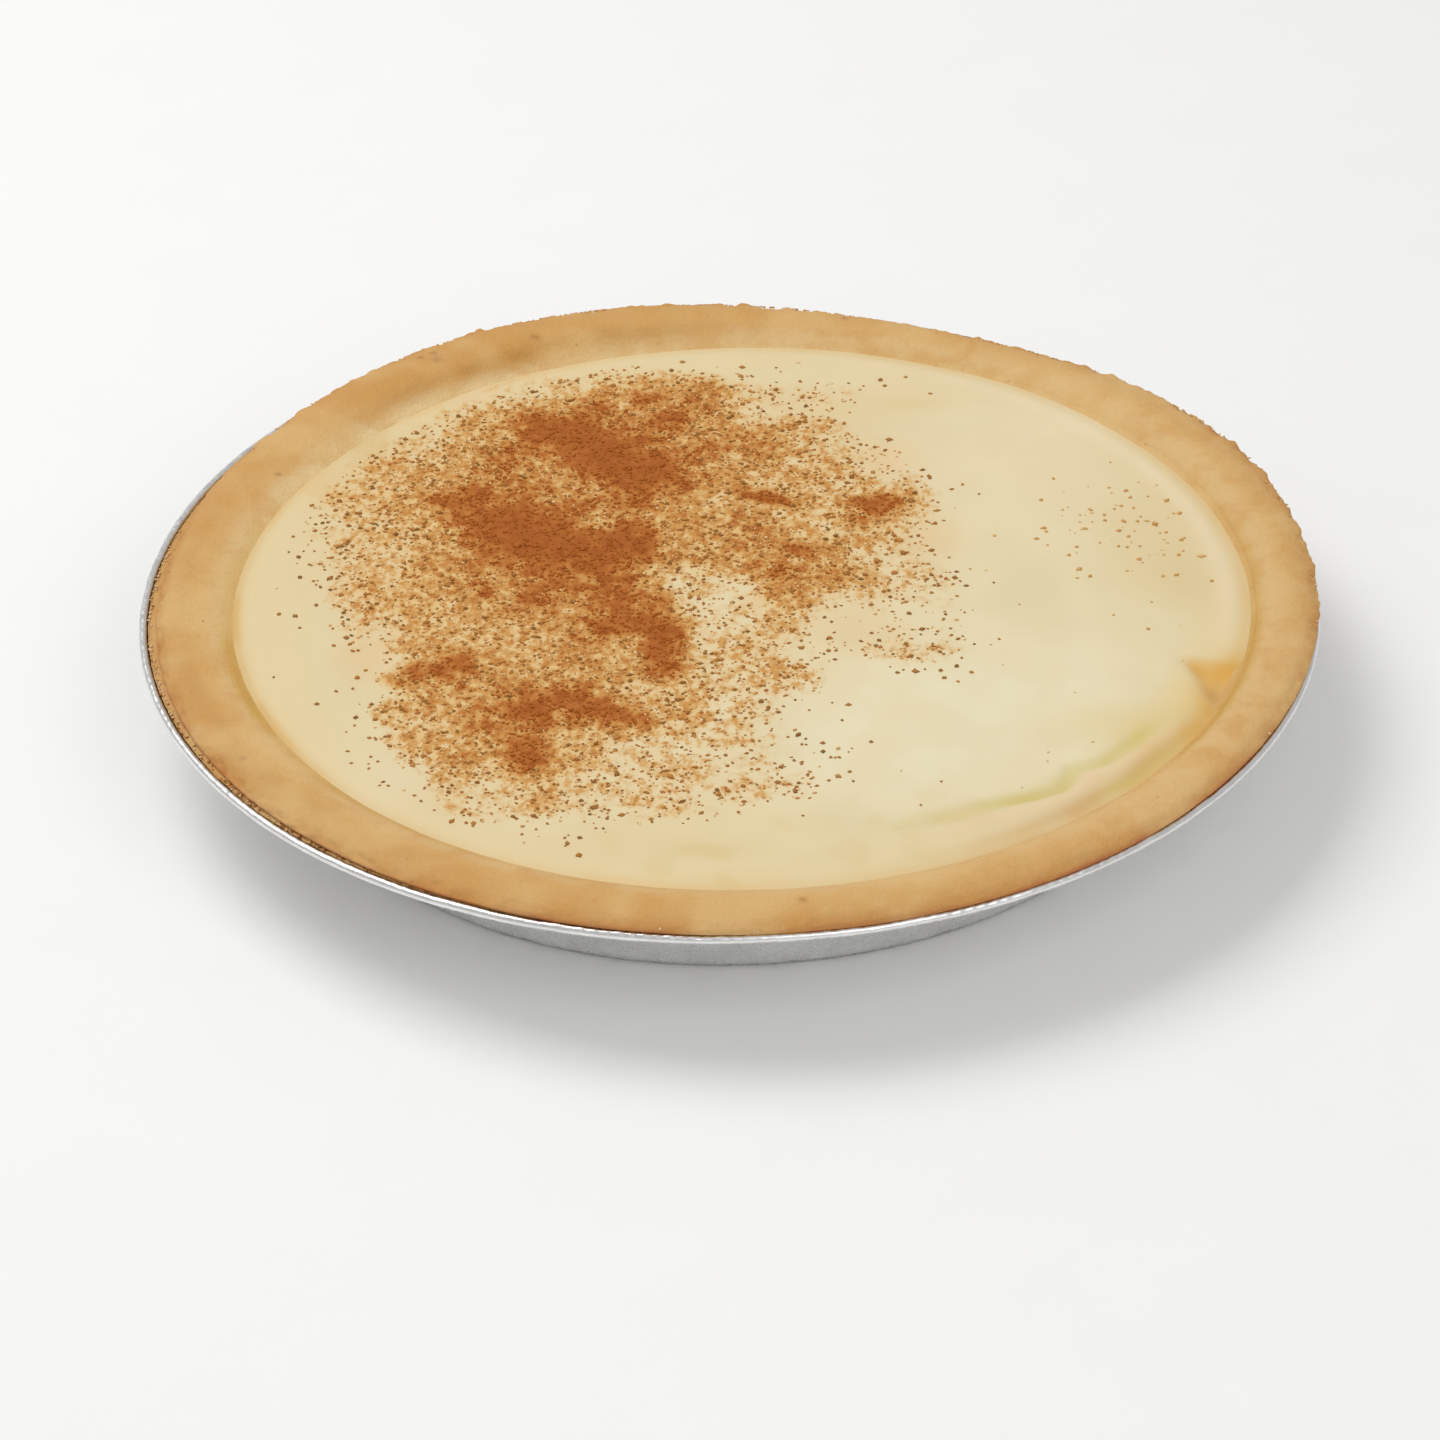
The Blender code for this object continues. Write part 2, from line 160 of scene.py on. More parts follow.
# Patches of cinnamon on the custard, in millimetres:
# (x, y, half length, half width, strength, turn in degrees)
DUSTINGS = (
    (-30, 43, 27, 35, 0.54, 12),
    (-60, 24, 18, 27, 0.27, 0),
    (-45, 3, 23, 17, 0.31, 0),
    (8, 42, 16, 26, 0.31, 20),
    (16, 16, 17, 18, 0.29, 0),
    (-34, -33, 22, 34, 0.44, -8),
    (-26, -6, 16, 14, 0.35, 0),
    (-2, 20, 9, 12, 0.30, 0),
    (3, -22, 12, 17, 0.20, 0),
    (11, -2, 8, 5, 0.35, 10),
    (-6, -58, 20, 14, 0.17, 0),
    (-11, 73, 14, 9, 0.56, 0),
    (36, -18, 10, 8, 0.08, 0),
    (32, 33, 9, 11, 0.22, 0),
    (-33, 61, 12, 8, 0.85, -20),
    (-23, 52, 11, 8, 0.9, -60),
    (-15, 44, 11, 7, 0.9, -15),
    (-14, 60, 6, 8, 0.55, 10),
    (-6, 67, 6, 8, 0.40, 0),
    (-5, 50, 4, 5, 0.25, 0),
    (-22, 73, 8, 5, 0.35, 25),
    (-50, 37, 8, 6, 0.7, -20),
    (-38, 45, 7, 5, 0.3, 0),
    (-41, 25, 11, 8, 0.9, -30),
    (-31, 17, 14, 8, 0.9, -15),
    (-45, 13, 6, 4, 0.4, 0),
    (-19, 18, 7, 9, 0.8, 0),
    (-38, 30, 14, 6, 0.4, 10),
    (-23, 3, 8, 9, 0.55, 15),
    (-21, -8, 7, 6, 0.5, 0),
    (-13, -9, 4.5, 11, 0.65, 12),
    (-13, -19, 4.5, 8, 0.9, 0),
    (-12, -27, 4, 4, 0.5, 0),
    (-8, -38, 5, 8, 0.25, 0),
    (-58, -15, 6, 5, 0.3, 0),
    (-55, -26, 8, 4.5, 0.75, 12),
    (-48, -20, 6, 5, 0.35, 0),
    (-50, -36, 8, 4, 0.45, -10),
    (-36, -35, 9, 5, 0.6, 15),
    (-26, -38, 9, 4.5, 0.8, -30),
    (-31, -42, 6, 4, 0.5, 0),
    (-19, -42, 5, 4, 0.6, -20),
    (-41, -42, 7, 6, 0.65, 0),
    (-37, -53, 4.5, 7, 0.75, 15),
    (-50, -57, 5, 7, 0.35, 0),
    (-43, -69, 10, 4, 0.14, 0),
    (-34, -69, 3, 4, 0.3, 0),
    (7, 34.5, 6.5, 2.6, 0.85, -22),
    (29, 32, 5, 4.5, 0.8, 0),
    (25, 27, 6, 4, 0.45, 30),
    (15, 15, 7, 3.4, 0.55, 20),
    (9, 7, 7, 4, 0.5, -10),
    (22, 6, 6, 5, 0.25, 0),
    (7, 55, 6, 7, 0.3, 0),
    (17, 62, 6, 4, 0.2, 0),
    (76, 22, 14, 20, 0.06, 0),
    (36, 6, 10, 12, 0.09, 0),
    (32, -8, 14, 16, 0.07, 20),
    (26, 51, 8, 9, 0.09, 0),
    (18, 74, 13, 5, 0.12, 0),
    (-66, 50, 7, 9, 0.14, -30),
    (-62, -38, 4, 4, 0.25, 0),
    (-70, -6, 6, 13, 0.09, 0),
    (-13, 33, 5, 5, 0.30, 0),
    (-32, 13, 20, 5, 0.40, 0),
    (-20, 25, 8, 8, 0.25, 0),
    (-44, 3, 7, 5, 0.30, 0),
    (30, -22, 12, 7, 0.07, 0),
    (-4, 4, 5, 5, 0.15, 0),
    (6, 13, 5, 4, 0.20, 0),
    (-1, 55, 5, 6, 0.20, 0),
    (-22, 32, 5, 4, 0.30, 0),
    (-50, -26, 5, 4, 0.18, 0),
    (-57, -48, 6, 7, 0.18, 0),
    (-15, -72, 12, 5, 0.10, 0),
    (9, -66, 11, 6, 0.06, 0),
    (3, -44, 6, 7, 0.14, 0),
    (12, -30, 7, 6, 0.12, 0),
    (10, -10, 6, 5, 0.14, 0),
    (-75, 38, 5, 7, 0.08, 0),
)
# Places with less cinnamon, in the same form
BARE_SPOTS = (
    (32, -12, 9, 6, 0.35, 0),
    (30, 9, 7, 5, 0.2, 0),
    (29, 46, 6, 6, 0.2, 0),
    (-34, -30, 6, 3, 0.25, 0),
    (-57, 58, 7, 5, 0.2, 30),
    (-56, 41, 7, 4, 0.25, 0),
    (-36, -24, 7, 4, 0.25, 0),
    (18, 27, 7, 6, 0.42, 0),
    (-3, 33, 5, 9, 0.3, 0),
    (-42, 72, 9, 6, 0.3, 0),
    (10, 38, 5, 4, 0.3, 0),
    (-15, 78, 10, 4, 0.35, 0),
    (-3, 73, 6, 4, 0.35, 0),
    (-36, 81, 7, 4, 0.2, 0),
    (-41, -68, 9, 4, 0.3, 0),
    (1, -57, 9, 6, 0.3, 0),
    (-27, -48, 6, 4, 0.3, 0),
    (-25, 28, 5, 4, 0.35, 0),
    (-40, -13, 11, 7, 0.45, 0),
    (-12, 3, 4, 3, 0.3, 0),
    (-56, -60, 6, 5, 0.4, 0),
    (-17, -53, 7, 6, 0.35, 0),
    (20, 19, 8, 4, 0.3, 0),
    (-46, -38, 6, 5, 0.3, 0),
    (-61, 9, 6, 8, 0.3, 0),
    (-66, 18, 6, 9, 0.35, 0),
    (-46, -63, 7, 3, 0.3, 0),
)
# How firmly a patch ends, and the shares of cinnamon over which its clumps merge
DUST_EDGE = 3
SETTLED_DUST = (0.65, 1.0)
HEAP_HEIGHT = 0.0005
HEAP_LEVEL = 0.55

# Soft tints of the custard, in millimetres: (x, y, half length, half width, share, colour)
TINTS = (
    (45, -42, 34, 27, 0.85, (239, 230, 196)),
    (-12, 78, 20, 6, 0.45, (226, 190, 126)),
    (-1, -77, 19, 6, 0.5, (226, 200, 142)),
    (-20, -81, 16, 4, 0.5, (228, 204, 150)),
    (66, 62, 14, 10, 0.5, (236, 221, 184)),
    (79, 18, 11, 26, 0.65, (224, 198, 144)),
    (87, -2, 6, 10, 0.5, (220, 194, 140)),
    (72, -46, 16, 8, 0.5, (226, 202, 140)),
    (21, 71, 20, 8, 0.6, (227, 193, 132)),
    (38, 70, 6, 3, 0.5, (222, 198, 136)),
    (14, 60, 14, 9, 0.45, (228, 200, 146)),
    (38, 20, 7, 10, 0.7, (232, 202, 152)),
    (20, -13, 12, 10, 0.6, (230, 200, 148)),
    (31, 48, 7, 8, 0.6, (231, 200, 148)),
    (-80, 20, 6, 26, 0.4, (226, 202, 152)),
    (-77, 44, 5, 9, 0.6, (226, 192, 136)),
    (-67, -19, 6, 9, 0.6, (228, 194, 142)),
    (40, -75, 6, 3, 0.6, (224, 200, 142)),
    (66, -65, 9, 3.5, 0.5, (234, 206, 150)),
    (76, -55, 4, 4, 0.6, (232, 202, 144)),
    (54, 44, 22, 22, 0.5, (239, 220, 181)),
    (41, 76, 12, 5, 0.6, (234, 214, 170)),
    (-64, -58, 9, 13, 0.6, (232, 215, 177)),
    (-50, 76, 7, 5, 0.5, (232, 207, 167)),
    (-71, 58, 6, 8, 0.6, (216, 186, 128)),
    (-5, -84, 12, 3.5, 0.6, (222, 196, 140)),
    (30, -61, 14, 8, 0.4, (236, 226, 194)),
)
TINT_EDGE = 2.5

# The custard's other colours, and where they lie. A colour is given as seen on a screen, 0 to 255.
# A band is the two radii between which it fades in, and a line is its middle and its half width.
CREAM = (234, 219, 179)
# Painted shade: the darker cream laid over the custard's left side
SHADED_CREAM = (228, 210, 166)
CREAM_CLOUD = (224, 208, 165)
CREAM_EDGE = (230, 208, 160)
EDGE_BAND = (0.078, 0.092)
RING = (224, 190, 128)
RING_BAND = (0.0915, 0.0950)
RING_SIDES = ((195, 35, 0.4), (-12, 26, 0.4))
LEFT_GILT = (210, 168, 94)
LEFT_GILT_LINE = (0.0948, 0.0009)
LEFT_GILT_SIDES = ((192, 36, 0.8),)
# Painted highlight: a lighter band along the custard's edge behind, just inside the crease
BACK_EDGE_HIGHLIGHT = (240, 222, 186)
BACK_EDGE_HIGHLIGHT_LINE = (0.0905, 0.0022)
BACK_EDGE_HIGHLIGHT_SIDES = ((28, 50, 0.7),)
NOTCH_GLOW = (232, 204, 140)
NOTCH_GLOW_BAND = (0.080, 0.088)
NOTCH_GLOW_SIDES = ((-26, 14, 0.7),)
FRONT_RIGHT = (226, 194, 126)
FRONT_RIGHT_BAND = (0.0865, 0.0915)
FRONT_RIGHT_GOLD = (217, 168, 80)
FRONT_RIGHT_GOLD_LINE = (0.0938, 0.0027)
FOLD_BACK = (217, 179, 120)
FOLD_BACK_BAND = (0.0893, 0.0925)
FOLD_BACK_SIDES = ((-52, 14, 0.85),)
FOLD_CREST = (238, 205, 164)
INNER_GROOVE = (209, 192, 104)
INNER_GROOVE_SIDES = ((-53, 6, 0.5), (-35, 5, 0.6))
OUTER_GROOVE = (206, 182, 88)
OUTER_GROOVE_SIDES = ((-43, 4, 1.0), (-33, 6, 1.0))
FRONT_STAIN = (222, 196, 136)
FRONT_STAIN_BAND = (0.068, 0.076)
FRONT_STAIN_SIDES = ((-88, 22, 0.5),)
NOTCH = (224, 172, 80)
NOTCH_TIP = (202, 143, 24)
NOTCH_TIP_PLACE = (0.0890, -0.0355)
NOTCH_TIP_SIZE = 0.0034
NOTCH_FADE = (-0.0018, 0.0014)
NOTCH_CORNER_BAND = (0.0828, 0.0848)
DUSTED_SKIN = (229, 189, 124)
POWDER = (
    (0.22, (219, 174, 106)),
    (0.50, (204, 145, 74)),
    (0.78, (184, 109, 42)),
    (1.00, (167, 89, 27)),
)

# The crust's colours and their places. Bands and lines are counted outwards from the crease.
CRUST_TAN = (217, 171, 105)
CRUST_ORANGE = (209, 154, 82)
CRUST_ORANGE_SIDES = ((128, 28, 0.75), (235, 30, 0.3))
CRUST_PALE = (226, 189, 128)
CRUST_PALE_SIDES = ((15, 45, 0.5),)
INNER_SLOPE = (224, 190, 136)
INNER_SLOPE_BAND = (0.002, 0.0080)
OUTER_SLOPE = (201, 152, 88)
OUTER_SLOPE_BAND = (0.0065, 0.0110)
OUTER_SLOPE_SIDES = ((-165, 37, 0.65),)
FRONT_LIGHT = (228, 190, 132)
FRONT_LIGHT_SIDES = ((-36, 26, 0.5),)
FRONT_BROWN = (196, 146, 82)
FRONT_BROWN_BAND = (0.006, 0.010)
FRONT_BROWN_SIDES = ((-138, 18, 0.5),)
EDGE_BROWN = (196, 138, 74)
TOAST = (186, 108, 60)
TOAST_SIDES = ((222, 38, 0.65), (312, 26, 0.65))
# Painted light on the crust's lip behind, which lightens the shade in the crease there
BACK_LIP_PAINTED_LIGHT = (236, 211, 160)
BACK_LIP_PAINTED_LIGHT_BAND = (0.0005, 0.0055)
BACK_SIDES = ((134, 44, 1.0),)
BACK_TAN = (188, 134, 58)
BACK_TAN_LINE = (0.0045, 0.0024)
BACK_TAN_SIDES = ((115, 22, 0.9),)
GILT = (206, 163, 80)
GILT_LINE = (0.0012, 0.0017)
GILT_SIDES = ((184, 42, 1.0), (-12, 26, 0.6), (-29, 10, 0.35))
GRAIN_DARK = (170, 118, 66)
GRAIN_LIGHT = (232, 203, 156)
PIT = (150, 98, 50)
SCORCH = (150, 88, 52)
# Small scorched specks, in millimetres: (x, y, size)
SCORCHES = (
    (-57.7, 87.2, 0.8),
    (-56.9, 84.8, 0.9),
    (-60.2, 85.6, 0.6),
    (-37.6, 93.5, 0.8),
    (-86.5, 45.0, 0.6),
    (24.0, 101.5, 0.6),
    (-88.0, -55.0, 0.6),
    (12.0, -103.0, 0.7),
)
RAGGED_SIDES = ((40, 45, 0.55), (105, 35, 0.55), (215, 30, 0.55))
HUNG_EDGE = ((200, 60, 0.0007),)

# The foil, as shares of light, and the small forms of its wall and rim
FOIL_SHADES = ((0.86, 0.86, 0.86), (0.79, 0.785, 0.78))
WRINKLE_DEPTH = 0.00022
WRINKLE_STRETCH = 20
CRIMPS = 300
CRIMP_DEPTH = 0.00007
CRIMP_LIFT = (-0.0003, 0.0001)

# A grain before it is made uneven: its six corners and eight sides
GRAIN_CORNERS = ((1, 0, 0), (-1, 0, 0), (0, 1, 0), (0, -1, 0), (0, 0, 1), (0, 0, -1))
GRAIN_SIDES = (
    (0, 2, 4), (2, 1, 4), (1, 3, 4), (3, 0, 4),
    (2, 0, 5), (1, 2, 5), (3, 1, 5), (0, 3, 5),
)
GRAIN_STRETCH = (0.75, 1.5)
GRAIN_ROUGHNESS = (0.7, 1.15)
GRAIN_FLATNESS = 0.8

# Loose cinnamon and crumbs. Radii are (least, most, usual), and tones pick a colour from the stops.
FINE_GRAINS, FINE_RADII, FINE_TONES = 11000, (0.00014, 0.00052, 0.00026), (0.0, 0.75)
COARSE_GRAINS, COARSE_RADII, COARSE_TONES = 2100, (0.00024, 0.00075, 0.00036), (0.45, 0.88)
COARSE_SPREAD = 1.2
GRAIN_MARGIN = 0.005
GRAIN_BATCH = 6000
FAINT_FROM, FAINT_TONE = 0.05, 0.45
# The palest stops are painted highlights: pale grains that stand for bright specks among the
# cinnamon
CINNAMON_AND_HIGHLIGHTS = (
    (0.00, (244, 212, 154)),
    (0.30, (222, 170, 102)),
    (0.55, (192, 128, 62)),
    (0.70, (176, 122, 62)),
    (0.88, (150, 106, 54)),
    (1.00, (180, 102, 40)),
)
CRUMB_COUNT = 900
CRUMB_RADII = (0.00016, 0.00045, 0.00024)
PALE_CRUMB_SIDES = ((188, 20, 1.0),)
BROWN_CRUMB_SIDES = ((228, 24, 1.0), (310, 26, 1.0))
BACK_CRUMB_SIDES = ((35, 40, 1.0), (100, 35, 1.0))
CRUMBS = (
    (0.00, (236, 204, 172)),
    (0.30, (224, 184, 128)),
    (0.60, (190, 126, 72)),
    (1.00, (138, 74, 40)),
)

# The photo's view: where the camera is, and the pixel on which it sees the middle of the custard
ELEVATION = math.radians(32.1)
DISTANCE = 1.25
ROLL = math.radians(0.9)
SENSOR = 36.0
FRAME_PIXELS = 1440
FOCAL_PIXELS = 6675
MIDDLE_PIXEL = (728.9, 596.9)
FARTHEST_SEEN = 20

# The studio: (name, place, size, watts) for each light, which points at the tart
LIGHTS = (
    ("key", (-0.55, 0.35, 1.1), 0.8, 7.5),
    ("front", (0.5, -0.9, 0.9), 0.9, 3.4),
)
LIGHT_TARGET = (0, 0, 0.02)
SURROUND = (1.0, 0.99, 0.97)
SURROUND_STRENGTH = 0.51
FLOOR_REACH = 6.0
FLOOR_DROP = 0.0002
FLOOR_SHADES = ((0.95, 0.95, 0.95), (0.97, 0.97, 0.965))


def linear(colour):
    """A colour as seen on a screen, 0 to 255, as the light it stands for."""
    screen = np.asarray(colour, float) / 255
    return np.where(screen <= 0.04045, screen / 12.92, ((screen + 0.055) / 1.055) ** 2.4)


def blend(value, low, high):
    """0 at low, 1 at high and a smooth step between."""
    share = np.clip((value - low) / (high - low), 0, 1)
    return share * share * (3 - 2 * share)


def peak(value, middle, width):
    """1 at the middle, falling softly to 0 on both sides over about the width."""
    return np.exp(-(((value - middle) / width) ** 2))


def waves(points, size, layer=0.0):
    """Slow unevenness from -1 to 1 of about this size. Another layer has other waves."""
    shift = Vector((0, 0, layer))
    return np.array([noise.noise(Vector(point) / size + shift) for point in points])


def layered(points, layers):
    """Unevenness of several sizes, added up. A layer is (amount, size, layer of waves)."""
    return sum(amount * waves(points, size, layer) for amount, size, layer in layers)


def around(bumps, angle):
    """Soft bumps round the tart, added up. A bump is (direction, spread, amount)."""
    total = np.zeros_like(angle)
    for degrees, spread, amount in bumps:
        away = (np.degrees(angle) - degrees + 180) % 360 - 180
        total += amount * peak(away, 0, spread)
    return total


def polar(points):
    """Radius and direction of points round the middle of the crust's cavity."""
    x, y = points[:, 0] - CAVITY_CENTRE[0], points[:, 1] - CAVITY_CENTRE[1]
    return np.hypot(x, y), np.arctan2(y, x)


def plain(colour, count):
    """The same colour at each of so many points."""
    return np.tile(linear(colour), (count, 1))


def painted(colours, layers):
    """Colours under others, laid on in order. A layer is (colour, its share at each point)."""
    for colour, share in layers:
        colours = colours + (linear(colour) - colours) * np.clip(share, 0, 1)[:, None]
    return colours


def smooth_rows(rows, steps):
    """A soft curve through the rows of a profile, with this many steps between two of them."""
    rows = np.array(rows, float)
    padded = np.vstack([2 * rows[0] - rows[1], rows, 2 * rows[-1] - rows[-2]])
    made = []
    for before, start, end, after in zip(padded, padded[1:], padded[2:], padded[3:]):
        squared = 2 * before - 5 * start + 4 * end - after
        cubed = 3 * start - before - 3 * end + after
        for step in range(steps):
            t = step / steps
            made.append(0.5 * (2 * start + (end - before) * t + squared * t * t + cubed * t ** 3))
    made.append(rows[-1])
    return [tuple(row) for row in made]


class Turned:
    """A closed body turned about Z from profile rows (radius, height, share).

    The rows run from the middle of what is seen from above, over the edge, to the middle of the
    base. The share, from -1 to 1, tells the parts apart, such as a wall (1) and a rim (-1).
    """

    def __init__(self, name, rows, segments):
        self.name = name
        rows = np.array(rows, float)
        angles = np.arange(segments) * (math.tau / segments)
        ring = np.stack([np.cos(angles), np.sin(angles)], 1)
        inner = rows[1:-1]
        flat = (inner[:, 0, None, None] * ring[None]).reshape(-1, 2)
        points = np.column_stack([flat, np.repeat(inner[:, 1], segments)])
        self.points = np.vstack([[0, 0, rows[0, 1]], points, [0, 0, rows[-1, 1]]])
        shares = np.repeat(inner[:, 2], segments)
        self.share = np.concatenate([[rows[0, 2]], shares, [rows[-1, 2]]])
        self.angle = np.concatenate([[0.0], np.tile(angles, len(inner)), [0.0]])
        self.angle = (self.angle + math.pi) % math.tau - math.pi
        self.faces = self.joined(len(inner), segments)

    def joined(self, rings, segments):
        """Faces between the rings, with a fan at each end."""
        here = np.arange(segments)
        there = (here + 1) % segments
        faces = [(0, int(a) + 1, int(b) + 1) for a, b in zip(here, there)]
        for ring in range(rings - 1):
            top = 1 + ring * segments
            below = top + segments
            corners = (top + here, below + here, below + there, top + there)
            faces += list(zip(*(corner.tolist() for corner in corners)))
        bottom, last = 1 + (rings - 1) * segments, 1 + rings * segments
        faces += [(last, bottom + int(b), bottom + int(a)) for a, b in zip(here, there)]
        return faces

    def outward(self):
        """Flat directions away from Z, one for each point."""
        flat = [np.cos(self.angle), np.sin(self.angle)]
        return np.column_stack([*flat, np.zeros(len(self.angle))])

    def mesh(self):
        made = bpy.data.meshes.new(self.name)
        made.from_pydata(self.points.tolist(), [], self.faces)
        made.shade_smooth()
        return made

    def normals(self):
        """The surface's directions at the points as they are now."""
        made = self.mesh()
        found = np.empty(len(made.vertices) * 3, np.float32)
        made.vertex_normals.foreach_get("vector", found)
        bpy.data.meshes.remove(made)
        return found.reshape(-1, 3).astype(float)

    def piece(self, material, colours=None, **values):
        """The finished object. Colours and other values are kept for its material, by point."""
        made = self.mesh()
        if colours is not None:
            layer = made.attributes.new("tint", "FLOAT_COLOR", "POINT")
            rows = np.column_stack([colours, np.ones(len(colours))])
            layer.data.foreach_set("color", rows.ravel())
        for key, amounts in values.items():
            layer = made.attributes.new(key, "FLOAT", "POINT")
            layer.data.foreach_set("value", np.asarray(amounts, np.float32))
        return placed(self.name, made, material)


def placed(name, mesh, material):
    """An object in the scene for a mesh in this material."""
    mesh.materials.append(material)
    obj = bpy.data.objects.new(name, mesh)
    bpy.context.scene.collection.objects.link(obj)
    return obj


class Nodes:
    """A material's nodes, made and joined in short lines."""

    def __init__(self, name):
        self.material = bpy.data.materials.new(name)
        self.material.use_nodes = True
        self.tree = self.material.node_tree
        self.shader = self.tree.nodes["Principled BSDF"]
        self.place = self.add("ShaderNodeTexCoord").outputs["Object"]

    def add(self, kind, inputs=(), **settings):
        node = self.tree.nodes.new(kind)
        for key, value in settings.items():
            setattr(node, key, value)
        for key, value in dict(inputs).items():
            self.give(node.inputs[key], value)
        return node

    def give(self, socket, value):
        """Link a socket to another node's output, or set it."""
        if isinstance(value, bpy.types.NodeSocket):
            self.tree.links.new(value, socket)
        elif isinstance(value, (tuple, np.ndarray)) and len(value) == 3 and socket.type == "RGBA":
            socket.default_value = (*value, 1.0)
        else:
            socket.default_value = value

    def attribute(self, name):
        return self.add("ShaderNodeAttribute", attribute_name=name)

    def noise(self, size, detail=2.0, roughness=0.5, distortion=0.0):
        inputs = {"Vector": self.place, "Scale": 1 / size, "Detail": detail,
                  "Roughness": roughness, "Distortion": distortion}
        return self.add("ShaderNodeTexNoise", inputs).outputs["Fac"]

    def cells(self, size):
        inputs = {"Vector": self.place, "Scale": 1 / size}
        return self.add("ShaderNodeTexVoronoi", inputs).outputs["Distance"]

    def math(self, operation, first, second):
        node = self.add("ShaderNodeMath", operation=operation)
        self.give(node.inputs[0], first)
        self.give(node.inputs[1], second)
        return node.outputs[0]

    def centred(self, level, factor):
        """A noise of 0 to 1 moved to lie round 0, times a factor."""
        return self.math("MULTIPLY", self.math("SUBTRACT", level, 0.5), factor)

    def step(self, value, low, high, to_low=0.0, to_high=1.0):
        """A smooth step between two levels of the value."""
        inputs = {"Value": value, "From Min": low, "From Max": high,
                  "To Min": to_low, "To Max": to_high}
        node = self.add("ShaderNodeMapRange", inputs, interpolation_type="SMOOTHSTEP")
        return node.outputs["Result"]

    def mix(self, share, first, second):
        node = self.add("ShaderNodeMix", data_type="RGBA")
        for index, value in ((0, share), (6, first), (7, second)):
            self.give(node.inputs[index], value)
        return node.outputs[2]

    def tinted(self, share, first, colour):
        """The first colour with a share of another, which is given as seen on a screen."""
        return self.mix(share, first, tuple(linear(colour)))

    def ramp(self, level, stops):
        node = self.add("ShaderNodeValToRGB")
        self.give(node.inputs[0], level)
        elements = node.color_ramp.elements
        while len(elements) < len(stops):
            elements.new(0.5)
        for element, (place, colour) in zip(elements, stops):
            element.position = place
            element.color = (*linear(colour), 1)
        return node.outputs["Color"]

    def bump(self, height, strength, distance):
        inputs = {"Height": height, "Strength": strength, "Distance": distance}
        return self.add("ShaderNodeBump", inputs).outputs["Normal"]

    def surface(self, **inputs):
        """The material with the shader's inputs set, such as base_color for Base Color."""
        for key, value in inputs.items():
            title = key.replace("_", " ").title().replace("Ior", "IOR")
            self.give(self.shader.inputs[title], value)
        return self.material


def patch_share(x, y, patch, spread):
    """How strongly a row of DUSTINGS or BARE_SPOTS covers each point."""
    middle_x, middle_y, length, width, strength, turn = patch
    away_x, away_y = x / MM - middle_x, y / MM - middle_y
    cosine, sine = math.cos(math.radians(turn)), math.sin(math.radians(turn))
    along = (away_x * cosine + away_y * sine) / length
    across = (away_y * cosine - away_x * sine) / width
    return strength * np.exp(-(np.hypot(along, across) / spread) ** DUST_EDGE)


def dust_share(x, y, spread=1.0):
    """How thick the cinnamon lies on the custard, from 0 to 1. The spread widens each patch."""
    bare = np.ones_like(x)
    for patch in DUSTINGS:
        bare = bare * (1 - patch_share(x, y, patch, spread))
    dust = 1 - bare
    for patch in BARE_SPOTS:
        dust = dust * (1 - patch_share(x, y, patch, spread))
    return dust


def notch_share(x, y, low=-NOTCH_SOFTNESS, high=NOTCH_SOFTNESS):
    """1 inside the three-cornered notch in the custard's edge, falling softly to 0 outside it.

    Low and high are how far inside its sides, in metres, the share leaves 0 and reaches 1.
    """
    inside = np.full_like(x, np.inf)
    for start, end in zip(NOTCH_CORNERS, NOTCH_CORNERS[1:] + NOTCH_CORNERS[:1]):
        along = np.subtract(end, start)
        side = ((y - start[1]) * along[0] - (x - start[0]) * along[1]) / np.hypot(*along)
        inside = np.minimum(inside, -side)
    return blend(inside, low, high)


def custard_relief(points):
    """Height of the bare skin over the crease, and the shares of its fold and its two grooves."""
    radius, angle = polar(points)
    flat = points * (1, 1, 0)
    height = SHOULDER_DROP * (blend(CREASE_RADIUS - radius, -SHOULDER / 2, SHOULDER) - 1)
    height += DOME * (1 - (radius / CREASE_RADIUS) ** 2)
    height += SKIN_WAVE * waves(flat, SKIN_WAVE_SIZE)
    along = blend(angle, FOLD_FROM - FOLD_FADE, FOLD_FROM + FOLD_FADE)
    along *= 1 - blend(angle, FOLD_TO - FOLD_FADE, FOLD_TO + FOLD_FADE)
    degrees, strays = np.transpose(FOLD_WANDER)
    wander = np.interp(np.degrees(angle), degrees, strays) + layered(flat, FOLD_RIPPLES)
    fold = along * peak(radius, FOLD_RADIUS + wander * FOLD_FOLLOWS, FOLD_WIDTH)
    inner, outer = (along * peak(radius, middle + wander * follows, GROOVE_WIDTH)
                    for middle, follows in GROOVES)
    height += FOLD_HEIGHT * fold - GROOVE_DEPTH * (inner + outer)
    height -= NOTCH_DEPTH * notch_share(points[:, 0], points[:, 1])
    return height, fold, inner, outer


def uneven_dust(points):
    """The share of cinnamon with the clumps in which it falls. Thick heaps have fewer gaps."""
    dust = dust_share(points[:, 0], points[:, 1])
    uneven = 1 + layered(points * (1, 1, 0), DUST_CLUMPS)
    return np.clip(dust * (uneven + (1 - uneven) * blend(dust, *SETTLED_DUST)), 0, 1)


def skin_height(points):
    """Height of the dusted skin over the crease, its cinnamon, and the fold and grooves."""
    height, *folds = custard_relief(points)
    flat = points * (1, 1, 0)
    dust = uneven_dust(points)
    height += HEAP_HEIGHT * dust * (HEAP_LEVEL + layered(flat, HEAP_LUMPS))
    height += layered(flat, SKIN_GRAIN)
    return height, dust, *folds


